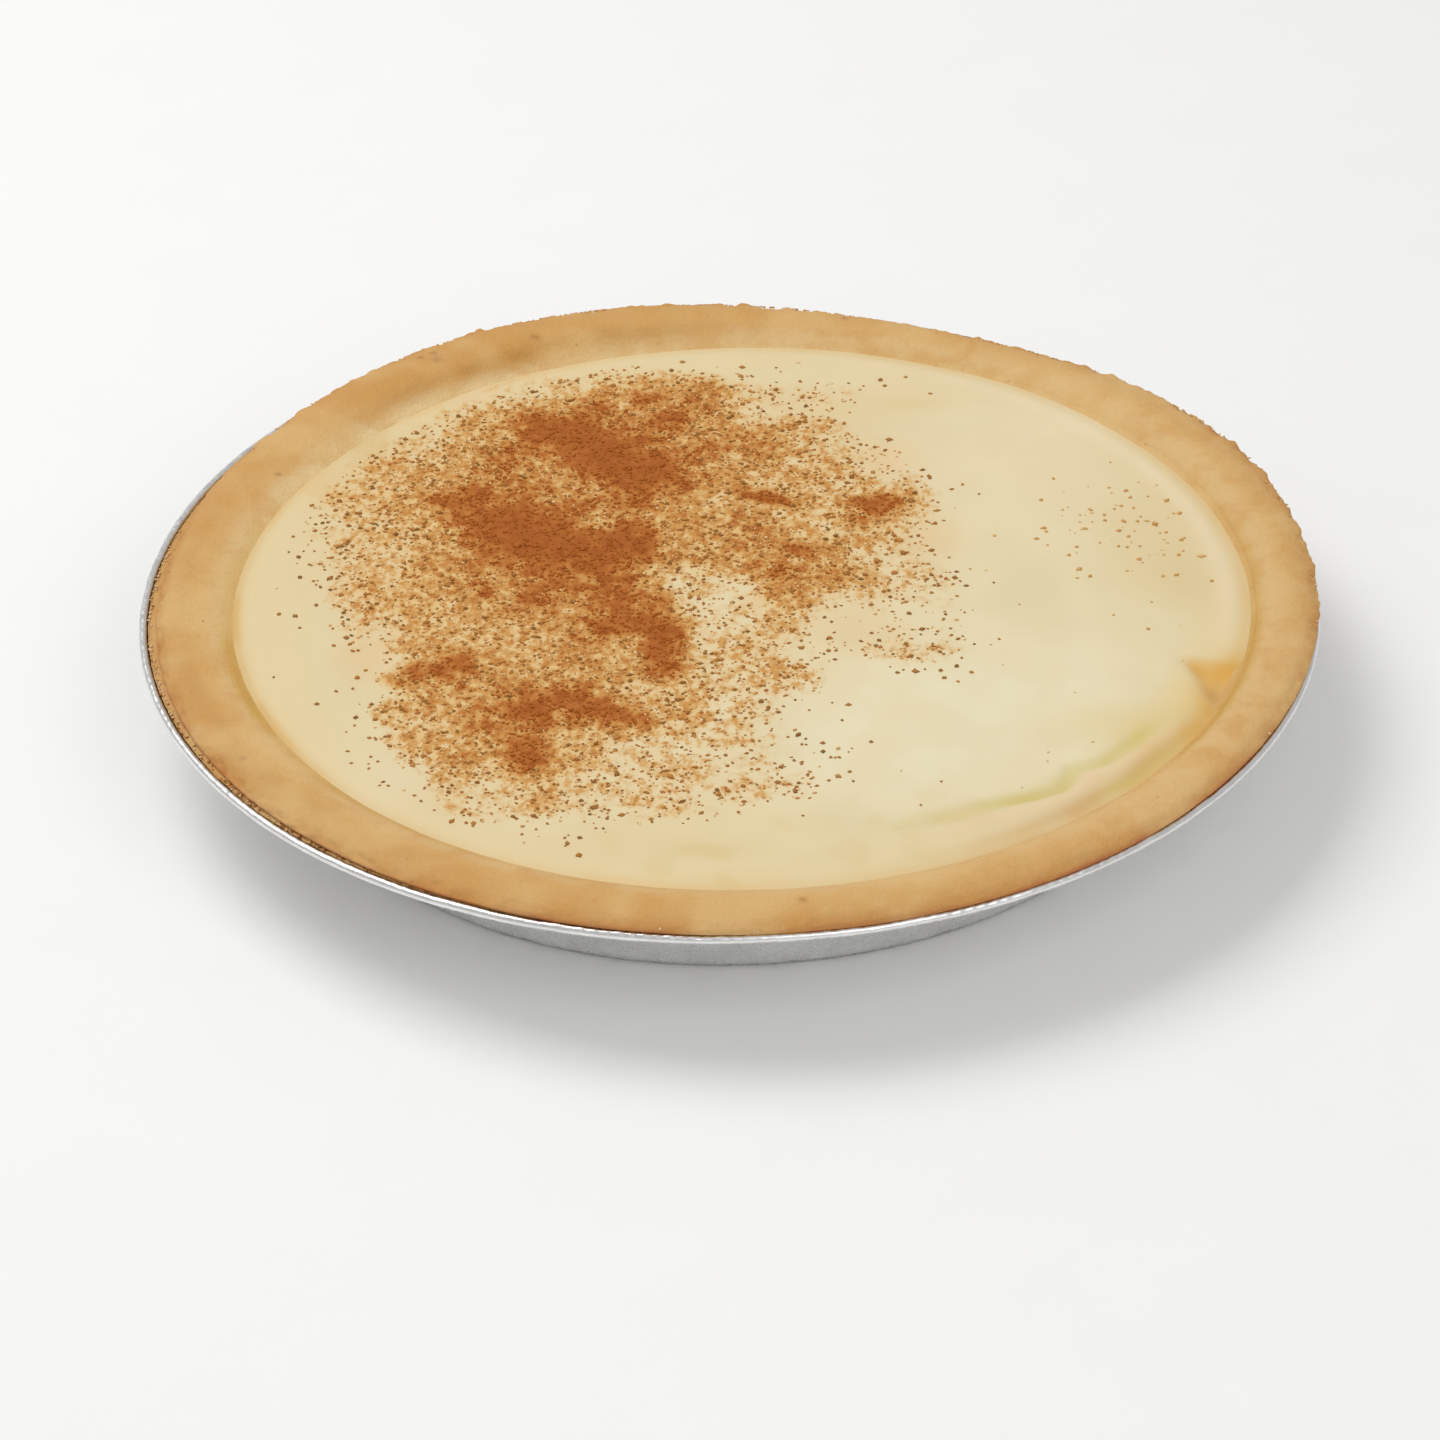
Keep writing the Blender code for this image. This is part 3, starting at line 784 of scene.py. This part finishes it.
def custard_material():
    """Tinted skin under cinnamon that goes from a faint stain to thick powder.

    The pattern is stretched along Y, because the photo's view shortens it in that direction.
    """
    n = Nodes("custard")
    dust = n.attribute("dust").outputs["Fac"]
    tint = n.attribute("tint").outputs["Color"]
    stretched = n.add("ShaderNodeMapping", {"Vector": n.place, "Scale": (1.0, 0.7, 1.0)})
    n.place = stretched.outputs["Vector"]
    grain = n.noise(0.0015, roughness=0.6)
    clump = n.noise(0.0036, roughness=0.55)
    drift = n.noise(0.012)
    speckled = n.math("MULTIPLY", n.step(dust, 0.0, 0.3), n.step(dust, 1.0, 0.55, 0.3, 1.0))
    speckles = n.math("ADD", n.centred(grain, 1.6), n.centred(clump, 0.7))
    level = n.math("ADD", dust, n.math("MULTIPLY", speckles, speckled))
    skin = n.tinted(n.step(drift, 0.35, 0.65, 0.0, 0.35), tint, SHADED_CREAM)
    skin = n.tinted(n.step(dust, 0.03, 0.4, 0.0, 0.9), skin, DUSTED_SKIN)
    colour = n.mix(n.step(level, 0.08, 0.34), skin, n.ramp(level, POWDER))
    cover = n.step(level, 0.1, 0.6)
    roughness = n.step(cover, 0.0, 1.0, 0.46, 0.85)
    height = n.math("ADD", n.math("MULTIPLY", grain, n.step(dust, 0.03, 0.4, 0.12, 1.0)),
                    n.math("MULTIPLY", clump, n.step(dust, 0.05, 0.5, 0.1, 0.6)))
    return n.surface(base_color=colour, roughness=roughness, specular_ior_level=0.3,
                     normal=n.bump(height, 0.5, 0.0005))


def custard_colours(points, fold, inner, outer):
    """Cream, richer towards the crust, with gold beside the fold and in the notch, painted shade on
    the left and a painted highlight along the back edge.
    """
    x, y = points[:, 0], points[:, 1]
    flat = points * (1, 1, 0)
    radius, side = polar(points)
    cloud = layered(flat, SKIN_CLOUDS)
    layers = [
        # painted shade darkens the custard's left side
        (SHADED_CREAM, 0.9 * blend(-x, 0.0, 0.075)),
        (CREAM_CLOUD, 0.5 * blend(cloud, 0.0, 0.5)),
        (CREAM_EDGE, blend(radius, *EDGE_BAND) * (0.8 + 0.4 * cloud)),
        (RING, blend(radius, *RING_BAND) * (0.5 + around(RING_SIDES, side))),
        (LEFT_GILT, peak(radius, *LEFT_GILT_LINE) * around(LEFT_GILT_SIDES, side)),
    ]
    for middle_x, middle_y, length, width, amount, colour in TINTS:
        reach = np.hypot((x / MM - middle_x) / length, (y / MM - middle_y) / width)
        layers.append((colour, amount * np.exp(-reach ** TINT_EDGE) * (1 + 0.8 * cloud)))
    front_right = blend(side, *np.radians((-46, -36))) * blend(side, *np.radians((-10, -20)))
    patchy = 0.55 + around(INNER_GROOVE_SIDES, side) + layered(flat, GROOVE_PATCHES)
    olive = np.clip(around(OUTER_GROOVE_SIDES, side), 0, 1)
    stain = blend(layered(flat, STAIN_PATCHES), 0.1, 0.4) * around(FRONT_STAIN_SIDES, side)
    layers += [
        # painted highlight along the custard's back edge
        (BACK_EDGE_HIGHLIGHT, peak(radius, *BACK_EDGE_HIGHLIGHT_LINE) * around(BACK_EDGE_HIGHLIGHT_SIDES, side)),
        (NOTCH_GLOW, blend(radius, *NOTCH_GLOW_BAND) * around(NOTCH_GLOW_SIDES, side)),
        (FRONT_RIGHT, 0.6 * front_right * blend(radius, *FRONT_RIGHT_BAND)),
        (FOLD_BACK, blend(radius, *FOLD_BACK_BAND) * around(FOLD_BACK_SIDES, side)),
        (FOLD_CREST, 0.6 * fold),
        (INNER_GROOVE, np.clip(patchy, 0, 1) * inner ** 0.6),
        (FRONT_RIGHT_GOLD, front_right * peak(radius, *FRONT_RIGHT_GOLD_LINE)),
        (OUTER_GROOVE, 0.75 * outer * olive),
        (FRONT_STAIN, stain * blend(radius, *FRONT_STAIN_BAND)),
    ]
    colours = painted(plain(CREAM, len(x)), layers)

    tip = peak(np.hypot(x - NOTCH_TIP_PLACE[0], y - NOTCH_TIP_PLACE[1]), 0, NOTCH_TIP_SIZE)
    notch = painted(plain(NOTCH, len(x)), [(NOTCH_TIP, tip)])
    share = notch_share(x + layered(flat, NOTCH_FRAYS), y, *NOTCH_FADE)
    share = np.clip(share * blend(x, *NOTCH_CORNER_BAND) + tip, 0, 1)[:, None]
    return colours * (1 - share) + notch * share


def make_custard():
    """The filling. Its edge reaches just into the crust, so that no gap shows between them.

    The last ring of the skin is close to its edge, so that the turn down shades none of it.
    """
    edge = CREASE_RADIUS + SKIN_OVERLAP
    radii = (*np.linspace(0, edge - SKIN_LAST_STEP, CUSTARD_RINGS), edge)
    base = CRUST_BASE + GAP
    rows = [(radius, CREASE_HEIGHT, 1) for radius in radii] + [
        (CREASE_RADIUS - LIP_LEAN - GAP, CREASE_HEIGHT - LIP_DEPTH, 0),
        (CAVITY_BASE_RADIUS - 2 * GAP, base + CAVITY_CORNER, 0),
        (CAVITY_BASE_RADIUS - CAVITY_CORNER - GAP, base, 0),
        (0.0, base, 0),
    ]
    body = Turned("custard_filling", rows, CUSTARD_SEGMENTS)
    body.points[:, :2] += CAVITY_CENTRE
    top = body.share > 0
    found = np.zeros((5, len(body.points)))
    found[:, top] = skin_height(body.points[top])
    height, dust, *folds = found
    body.points[:, 2] += height
    return body.piece(custard_material(), custard_colours(body.points, *folds), dust=dust)


def crust_rows():
    """Profile of the crust. A share of 1 follows the cavity, and -1 the outline."""
    clear = FOIL + GAP
    flange = TIN_FLANGE_HEIGHT + clear

    def beside_pleats(share):
        radius = TIN_BASE_RADIUS + (TIN_WALL_TOP_RADIUS - TIN_BASE_RADIUS) * share
        return radius - PLEAT_DEPTH - FOIL / 2 - 1.5 * GAP, TIN_FLANGE_HEIGHT * share, 0

    inside = [
        (0.0, CRUST_BASE, 1),
        (CAVITY_BASE_RADIUS - CAVITY_CORNER, CRUST_BASE, 1),
        (CAVITY_BASE_RADIUS, CRUST_BASE + CAVITY_CORNER, 1),
        (CREASE_RADIUS - LIP_LEAN, CREASE_HEIGHT - LIP_DEPTH, 1),
    ]
    shown = smooth_rows([
        (CREASE_RADIUS - 0.0010, CREASE_HEIGHT - 0.0012, 1),
        (CREASE_RADIUS - 0.0002, CREASE_HEIGHT - 0.0007, 1),
        (CREASE_RADIUS + 0.0010, CREASE_HEIGHT - 0.0001, 1),
        (CREASE_RADIUS + 0.0024, CREASE_HEIGHT + 0.0007, 0.7),
        (CREASE_RADIUS + 0.0048, CREASE_HEIGHT + 0.0015, 0.3),
        (CREST_RADIUS, CREST_HEIGHT, -0.2),
        (CRUST_RADIUS - 0.0024, CREST_HEIGHT - 0.0005, -0.7),
        (CRUST_RADIUS - 0.0006, CRUST_EDGE_HEIGHT + 0.0010, -1),
        (CRUST_RADIUS, CRUST_EDGE_HEIGHT + 0.0004, -1),
        (CRUST_RADIUS - 0.0002, CRUST_EDGE_HEIGHT - 0.0002, -1),
    ], 5)
    foot = smooth_rows([
        (CRUST_RADIUS - 0.0009, CRUST_EDGE_HEIGHT - 0.0002, -1),
        (FOOT_RADIUS, FOOT_HEIGHT + 0.0002, 0),
        (FOOT_RADIUS + 0.0002, FOOT_HEIGHT, 0),
        (FOOT_RADIUS - 0.0004, FOOT_HEIGHT - 0.0001, 0),
    ], 4)
    under = [
        (TIN_RADIUS - 2 * BEAD_RADIUS - 0.0022, flange, 0),
        (TIN_WALL_TOP_RADIUS - GAP, flange, 0),
        beside_pleats(0.88),
        beside_pleats(0.12),
        (TIN_BASE_RADIUS - 0.0015, clear, 0),
        (PANEL_RADIUS + GAP, clear, 0),
        (PANEL_RADIUS - PANEL_SLOPE, clear + PANEL_RISE, 0),
        (0.0, clear + PANEL_RISE, 0),
    ]
    return inside + shown + foot + under


def press_crust(body):
    """Moves the cavity to its place and makes the outline and the crest uneven.

    Gives each point's level before that, from 0 at the edge's height to 1 at the crest's.
    """
    angle, share = body.angle, body.share
    held = np.clip(share, 0, 1)[:, None]
    loose = np.clip(-share, 0, 1)[:, None]
    outward = body.outward()
    before = body.points.copy()
    radius = np.hypot(before[:, 0], before[:, 1])
    body.points += np.append(CAVITY_CENTRE, 0) * held
    strays = outward * around(OUTLINE_BULGES, angle)[:, None]
    body.points += (np.append(CRUST_CENTRE, 0) + strays) * loose
    on_flange = blend(radius, TIN_WALL_TOP_RADIUS, FOOT_RADIUS) * (1 - np.abs(share))
    body.points += outward * (around(RIM_BENDS, angle) * np.clip(on_flange, 0, 1))[:, None]
    level = (before[:, 2] - CRUST_EDGE_HEIGHT) / (CREST_HEIGHT - CRUST_EDGE_HEIGHT)
    lift = around(CREST_BULGES, angle) + CRUST_WAVE * waves(before, CRUST_WAVE_SIZE)
    body.points[:, 2] += lift * blend(level, 0, 0.3) * blend(-share, -1.0, 0.2)
    hung = (share < -0.99) & (level < 0) & (radius < CRUST_RADIUS - 0.0006)
    body.points += outward * (hung * around(HUNG_EDGE, angle))[:, None]
    return level


def outer_share(body):
    """1 at the crust's outer edge and 0 on its crest and inside it."""
    return blend(-body.share, 0.55, 1.0)


def roughen_crust(body, level):
    """Adds the grain of the baked dough, its ragged outer edge and its crumbly foot."""
    normals = body.normals()
    radius = np.hypot(body.points[:, 0], body.points[:, 1])
    top = (level > -0.15) & (body.points[:, 2] > CREASE_HEIGHT - 0.0012)
    top &= radius > CREASE_RADIUS - 0.006
    points = body.points[top]
    upper = blend(level[top], -0.05, 0.3)
    grain = np.maximum(upper, 0.3) * layered(points, CRUST_GRAIN)
    rough = (0.45 + around(RAGGED_SIDES, body.angle[top])) * upper * outer_share(body)[top]
    grain += rough * (layered(points, CRUST_RAGS) - 0.0001)
    body.points[top] += normals[top] * grain[:, None]
    foot = (level < -0.15) & (level > -0.6) & (radius > 0.1070)
    crumbly = layered(body.points[foot], FOOT_CRUMBLE) - 0.00008
    body.points[foot] += normals[foot] * crumbly[:, None]


def crust_material():
    """Tinted dough with soft patches, a fine grain and a few pits."""
    n = Nodes("pastry")
    tint = n.attribute("tint").outputs["Color"]
    grain = n.noise(0.0008, 3.0, 0.65)
    patch = n.noise(0.0065, 3.0, 0.55, 0.4)
    cloud = n.noise(0.017)
    pits = n.step(n.cells(0.0062), 0.035, 0.075, 1.0, 0.0)
    pits = n.math("MULTIPLY", pits, n.step(cloud, 0.52, 0.6))
    colour = n.tinted(n.step(patch, 0.38, 0.68, 0.0, 0.5), tint, CRUST_ORANGE)
    colour = n.tinted(n.step(cloud, 0.42, 0.68, 0.0, 0.6), colour, CRUST_PALE)
    colour = n.tinted(n.step(grain, 0.58, 0.78, 0.0, 0.28), colour, GRAIN_DARK)
    colour = n.tinted(n.step(grain, 0.42, 0.25, 0.0, 0.25), colour, GRAIN_LIGHT)
    colour = n.tinted(n.math("MULTIPLY", pits, 0.55), colour, PIT)
    height = n.math("SUBTRACT", n.math("ADD", grain, n.math("MULTIPLY", patch, 1.2)), pits)
    return n.surface(base_color=colour, roughness=0.68, specular_ior_level=0.25,
                     normal=n.bump(height, 0.5, 0.0006))


def crust_colours(body, level):
    """Tan dough, pale towards the custard and browned at the outer edge, with scorched specks and
    painted light on the lip behind.
    """
    angle, points = body.angle, body.points
    from_crease = polar(points)[0] - CREASE_RADIUS
    outer = outer_share(body)
    low = 1 - blend(level, 0.0, 0.55)
    behind = around(BACK_SIDES, angle)
    toasted = np.clip(0.35 + around(TOAST_SIDES, angle), 0, 1)
    outside = 0.8 * (0.35 + around(OUTER_SLOPE_SIDES, angle))
    gilded = (1 - behind) * (0.2 + around(GILT_SIDES, angle))
    layers = [
        (CRUST_ORANGE, around(CRUST_ORANGE_SIDES, angle)),
        (CRUST_PALE, around(CRUST_PALE_SIDES, angle)),
        (INNER_SLOPE, 0.75 * (1 - blend(from_crease, *INNER_SLOPE_BAND))),
        (OUTER_SLOPE, blend(from_crease, *OUTER_SLOPE_BAND) * outside),
        (FRONT_LIGHT, around(FRONT_LIGHT_SIDES, angle)),
        (FRONT_BROWN, blend(from_crease, *FRONT_BROWN_BAND) * around(FRONT_BROWN_SIDES, angle)),
        (EDGE_BROWN, 0.6 * outer * blend(level, 1.1, 0.5)),
        (TOAST, low * outer * toasted),
        # painted light over the crease's shade on the lip behind
        (BACK_LIP_PAINTED_LIGHT, 0.85 * behind * (1 - blend(from_crease, *BACK_LIP_PAINTED_LIGHT_BAND))),
        (BACK_TAN, peak(from_crease, *BACK_TAN_LINE) * around(BACK_TAN_SIDES, angle)),
        (GILT, peak(from_crease, *GILT_LINE) * gilded),
    ]
    for x, y, size in SCORCHES:
        reach = np.hypot(points[:, 0] / MM - x, points[:, 1] / MM - y)
        layers.append((SCORCH, 0.85 * peak(reach, 0, size) * (points[:, 2] > CREASE_HEIGHT)))
    return painted(plain(CRUST_TAN, len(points)), layers)


def make_crust():
    body = Turned("pastry_crust", crust_rows(), CRUST_SEGMENTS)
    level = press_crust(body)
    roughen_crust(body, level)
    body.points = np.minimum(body.points, CAD_BOX[1])
    return body.piece(crust_material(), crust_colours(body, level))


def foil_material():
    n = Nodes("foil")
    grain = n.noise(0.0012, 3.0, 0.6)
    dent = n.noise(0.006)
    colour = n.mix(n.step(dent, 0.35, 0.7), *FOIL_SHADES)
    roughness = n.step(grain, 0.3, 0.7, 0.24, 0.42)
    height = n.math("ADD", n.math("MULTIPLY", grain, 0.35), dent)
    return n.surface(base_color=colour, metallic=1.0, roughness=roughness,
                     normal=n.bump(height, 0.25, 0.0004))


def foil_rows():
    """Profile of the tin. A share of 1 is the pleated wall, and -1 the rolled rim."""

    def base_level(radius):
        return PANEL_RISE * (1 - float(blend(radius, PANEL_RADIUS - PANEL_SLOPE, PANEL_RADIUS)))

    def wall(share, side):
        radius = TIN_BASE_RADIUS + (TIN_WALL_TOP_RADIUS - TIN_BASE_RADIUS) * share
        pleated = float(blend(share, 0.0, 0.12) * blend(share, 1.0, 0.88))
        return radius + side * FOIL / 2, TIN_FLANGE_HEIGHT * share + FOIL / 2, pleated

    bead_middle = (TIN_RADIUS - BEAD_RADIUS, TIN_FLANGE_HEIGHT + BEAD_RISE)
    panel = [PANEL_RADIUS - PANEL_SLOPE * share for share in (1.0, 0.75, 0.5, 0.25, 0.0)]
    up_wall = np.linspace(0.04, 0.96, 12)
    flange = np.linspace(TIN_WALL_TOP_RADIUS, bead_middle[0] - BEAD_RADIUS, 4)
    rows = [(0.0, base_level(0) + FOIL, 0)]
    rows += [(radius, base_level(radius) + FOIL, 0) for radius in panel + [TIN_BASE_RADIUS - FOIL]]
    rows += [wall(share, -1) for share in up_wall]
    rows += [(radius, TIN_FLANGE_HEIGHT + FOIL, 0) for radius in flange]
    for turn in np.radians(np.linspace(150, -150, 15)):
        rows.append((bead_middle[0] + BEAD_RADIUS * math.cos(turn),
                     bead_middle[1] + BEAD_RADIUS * math.sin(turn), -1))
    rows += [(radius, TIN_FLANGE_HEIGHT, 0) for radius in flange[::-1] + (-FOIL, 0, 0, FOIL)]
    rows += [wall(share, 1) for share in up_wall[::-1]]
    rows += [(radius, base_level(radius), 0) for radius in [TIN_BASE_RADIUS] + panel[::-1] + [0.0]]
    return rows


def make_foil():
    """The tin, with pleats that crease sharply inwards, wrinkled walls and a crimped rim."""
    body = Turned("foil_plate", foil_rows(), FOIL_SEGMENTS)
    angle, outward = body.angle, body.outward()
    wall = np.clip(body.share, 0, 1)
    rim = np.clip(-body.share, 0, 1)
    upright = np.column_stack([outward[:, :2], WRINKLE_STRETCH * body.points[:, 2]])
    wrinkle = np.clip(0.5 + layered(upright, WALL_WRINKLES), 0, 1.2)
    pleat = 2 * np.abs(np.sin(PLEATS / 2 * angle)) - 1
    body.points += outward * (wall * (PLEAT_DEPTH * pleat + WRINKLE_DEPTH * wrinkle))[:, None]
    body.points += outward * (rim * around(RIM_BENDS, angle))[:, None]
    crimp = CRIMP_DEPTH * np.sin(angle * CRIMPS + 1.5 * np.sin(angle * 7))
    crimp *= 0.5 + 0.7 * waves(body.points, 0.012, 3.0)
    crimp += layered(body.points, RIM_DENTS)
    body.points += outward * (rim * np.minimum(crimp, 0))[:, None]
    body.points[:, 2] += rim * np.clip(crimp, *CRIMP_LIFT)
    return body.piece(foil_material())


def lumps(name, places, material, draw):
    """Small irregular grains in one mesh. A place is (x, y, z, radius, tone)."""
    points, polygons, tones = [], [], []
    for x, y, z, radius, tone in places:
        turn = draw.uniform(0, math.tau)
        cosine, sine = math.cos(turn), math.sin(turn)
        start = len(points)
        stretch = draw.uniform(*GRAIN_STRETCH)
        for a, b, c in GRAIN_CORNERS:
            size = radius * draw.uniform(*GRAIN_ROUGHNESS)
            a, b, c = a * size * stretch, b * size, c * size * GRAIN_FLATNESS
            points.append((x + a * cosine - b * sine, y + a * sine + b * cosine, z + c))
            tones.append(tone)
        polygons += [tuple(start + corner for corner in side) for side in GRAIN_SIDES]
    made = bpy.data.meshes.new(name)
    made.from_pydata(points, [], polygons)
    made.shade_smooth()
    made.attributes.new("tone", "FLOAT", "POINT").data.foreach_set("value", tones)
    return placed(name, made, material)


def grain_material(name, stops):
    n = Nodes(name)
    colour = n.ramp(n.attribute("tone").outputs["Fac"], stops)
    return n.surface(base_color=colour, roughness=0.9, specular_ior_level=0.15,
                     normal=n.bump(n.noise(0.0003), 0.4, 0.0001))


def scattered(draw, wanted, chance):
    """Spots on the custard, each kept by its chance, with the share of cinnamon there."""
    reach = CREASE_RADIUS - GRAIN_MARGIN
    spots, shares = [], []
    while len(spots) < wanted:
        batch = np.array([(draw.uniform(-reach, reach), draw.uniform(-reach, reach), 0.0)
                          for _ in range(GRAIN_BATCH)])
        batch = batch[np.hypot(batch[:, 0], batch[:, 1]) < reach]
        batch[:, :2] += CAVITY_CENTRE
        for spot, share, kept in zip(batch, uneven_dust(batch), chance(batch)):
            if draw.random() < kept:
                spots.append(spot)
                shares.append(share)
    return np.array(spots[:wanted]), shares[:wanted]


def make_cinnamon():
    """Loose grains: fine ones where the cinnamon lies, and coarse ones that stray past its edges.

    Those on thick heaps have the powder's own colour, and the few far to the right are fainter.
    """
    draw = random.Random(11)

    def fine(points):
        share = uneven_dust(points)
        return share * (1.25 - share) * 1.8 * blend(share, -0.05, 0.22) + 0.001

    def coarse(points):
        wide = dust_share(points[:, 0], points[:, 1], COARSE_SPREAD)
        return 0.003 * blend(points[:, 0], 0.06, 0.03) + wide * (1.15 - wide) * 1.6

    places = []
    for wanted, chance, radii, tones in (
        (FINE_GRAINS, fine, FINE_RADII, FINE_TONES),
        (COARSE_GRAINS, coarse, COARSE_RADII, COARSE_TONES),
    ):
        spots, shares = scattered(draw, wanted, chance)
        for (x, y, _), share, up in zip(spots, shares, skin_height(spots)[0]):
            radius = draw.triangular(*radii)
            # low tones make pale grains, painted highlights among the cinnamon
            tone = draw.uniform(*tones)
            if draw.random() < blend(share, 0.45, 0.75):
                tone = 1.0
            elif x > FAINT_FROM:
                tone *= FAINT_TONE
            places.append((x, y, CREASE_HEIGHT + up + radius * 0.1, radius, tone))
    return lumps("cinnamon_grains", places, grain_material("cinnamon", CINNAMON_AND_HIGHLIGHTS), draw)


def crumb_by_foil(draw, angle, pale_share):
    """A crumb between the crust and the foil, pale or browned."""
    reach = FOOT_RADIUS - draw.triangular(-0.0002, 0.0010, 0.0001)
    z = FOOT_HEIGHT + draw.uniform(0.0002, 0.0004)
    pale = draw.random() < pale_share
    tone = draw.uniform(0.0, 0.35) if pale else draw.uniform(0.55, 1.0)
    return reach * math.cos(angle), reach * math.sin(angle), z, tone


def crumb_on_edge(draw, angle):
    """A crumb that clings to the crust's outer edge, or lies a little inside it."""
    spot = np.array([angle])
    inset = draw.triangular(-0.0001, 0.0016, 0.0003)
    reach = CRUST_RADIUS + float(around(OUTLINE_BULGES, spot)[0]) - inset
    lift = float(around(CREST_BULGES, spot)[0])
    z = CRUST_EDGE_HEIGHT + 0.0005 + 0.55 * max(0.0, inset) + lift
    x = CRUST_CENTRE[0] + reach * math.cos(angle)
    return x, CRUST_CENTRE[1] + reach * math.sin(angle), z, draw.uniform(0.15, 0.5)


def make_crumbs():
    """Crumbs at the crust's edge: by the foil at the left and front, and on the edge behind."""
    draw = random.Random(5)
    places = []
    while len(places) < CRUMB_COUNT:
        angle = draw.uniform(-math.pi, math.pi)
        spot = np.array([angle])
        pale = around(PALE_CRUMB_SIDES, spot)[0]
        by_foil = pale + around(BROWN_CRUMB_SIDES, spot)[0]
        behind = 0.2 + around(BACK_CRUMB_SIDES, spot)[0]
        radius = draw.triangular(*CRUMB_RADII)
        if draw.random() < by_foil:
            x, y, z, tone = crumb_by_foil(draw, angle, pale / by_foil)
        elif draw.random() < behind * 0.6:
            x, y, z, tone = crumb_on_edge(draw, angle)
        else:
            continue
        places.append((x, y, z, radius, tone))
    return lumps("crust_crumbs", places, grain_material("crumb", CRUMBS), draw)


def make_camera():
    """The camera, turned so that the middle of the custard's edge plane falls on its pixel."""
    middle = Vector((0, 0, CREASE_HEIGHT))
    forward = Vector((0, math.cos(ELEVATION), -math.sin(ELEVATION)))
    right = Vector((1, 0, 0))
    up = right.cross(forward)
    tilted_right = right * math.cos(ROLL) - up * math.sin(ROLL)
    tilted_up = right * math.sin(ROLL) + up * math.cos(ROLL)
    level = Matrix((tilted_right, tilted_up, -forward)).transposed()
    half = FRAME_PIXELS / 2
    seen = Vector((MIDDLE_PIXEL[0] - half, half - MIDDLE_PIXEL[1], -FOCAL_PIXELS))
    aim = seen.rotation_difference(Vector((0, 0, -1))).to_matrix()
    camera = bpy.data.objects.new("camera", bpy.data.cameras.new("camera"))
    camera.data.sensor_width = SENSOR
    camera.data.lens = FOCAL_PIXELS / FRAME_PIXELS * SENSOR
    camera.data.clip_end = FARTHEST_SEEN
    camera.matrix_world = Matrix.Translation(middle - forward * DISTANCE) @ (level @ aim).to_4x4()
    bpy.context.scene.collection.objects.link(camera)
    bpy.context.scene.camera = camera


def make_light(name, place, size, power):
    light = bpy.data.lights.new(name, "AREA")
    light.shape = "SQUARE"
    light.size = size
    light.energy = power
    obj = bpy.data.objects.new(name, light)
    obj.location = place
    towards = Vector(LIGHT_TARGET) - Vector(place)
    obj.rotation_euler = towards.to_track_quat("-Z", "Y").to_euler()
    bpy.context.scene.collection.objects.link(obj)


def make_studio():
    """A pale floor, an even pale surround, and soft lights from the back left and the front."""
    world = bpy.data.worlds.new("studio")
    world.use_nodes = True
    surround = world.node_tree.nodes["Background"]
    surround.inputs["Color"].default_value = (*SURROUND, 1)
    surround.inputs["Strength"].default_value = SURROUND_STRENGTH
    bpy.context.scene.world = world
    for light in LIGHTS:
        make_light(*light)
    floor = bpy.data.meshes.new("floor")
    near, far = -FLOOR_REACH, FLOOR_REACH
    corners = [(near, near, 0), (far, near, 0), (far, far, 0), (near, far, 0)]
    floor.from_pydata(corners, [], [(0, 1, 2, 3)])
    n = Nodes("floor")
    pale = n.surface(base_color=n.mix(n.noise(0.02), *FLOOR_SHADES), roughness=0.7)
    obj = placed("floor", floor, pale)
    obj.location.z = -FLOOR_DROP
    bpy.context.scene.view_settings.view_transform = "Standard"


def main():
    make_camera()
    make_studio()
    for piece, node, slot in (
        (make_custard(), "custard", "custard"),
        (make_crust(), "crust", "pastry"),
        (make_foil(), "foil_tin", "foil"),
        (make_cinnamon(), None, "cinnamon"),
        (make_crumbs(), None, "pastry"),
    ):
        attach(piece, "root")
        if node:
            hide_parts(node)


main()
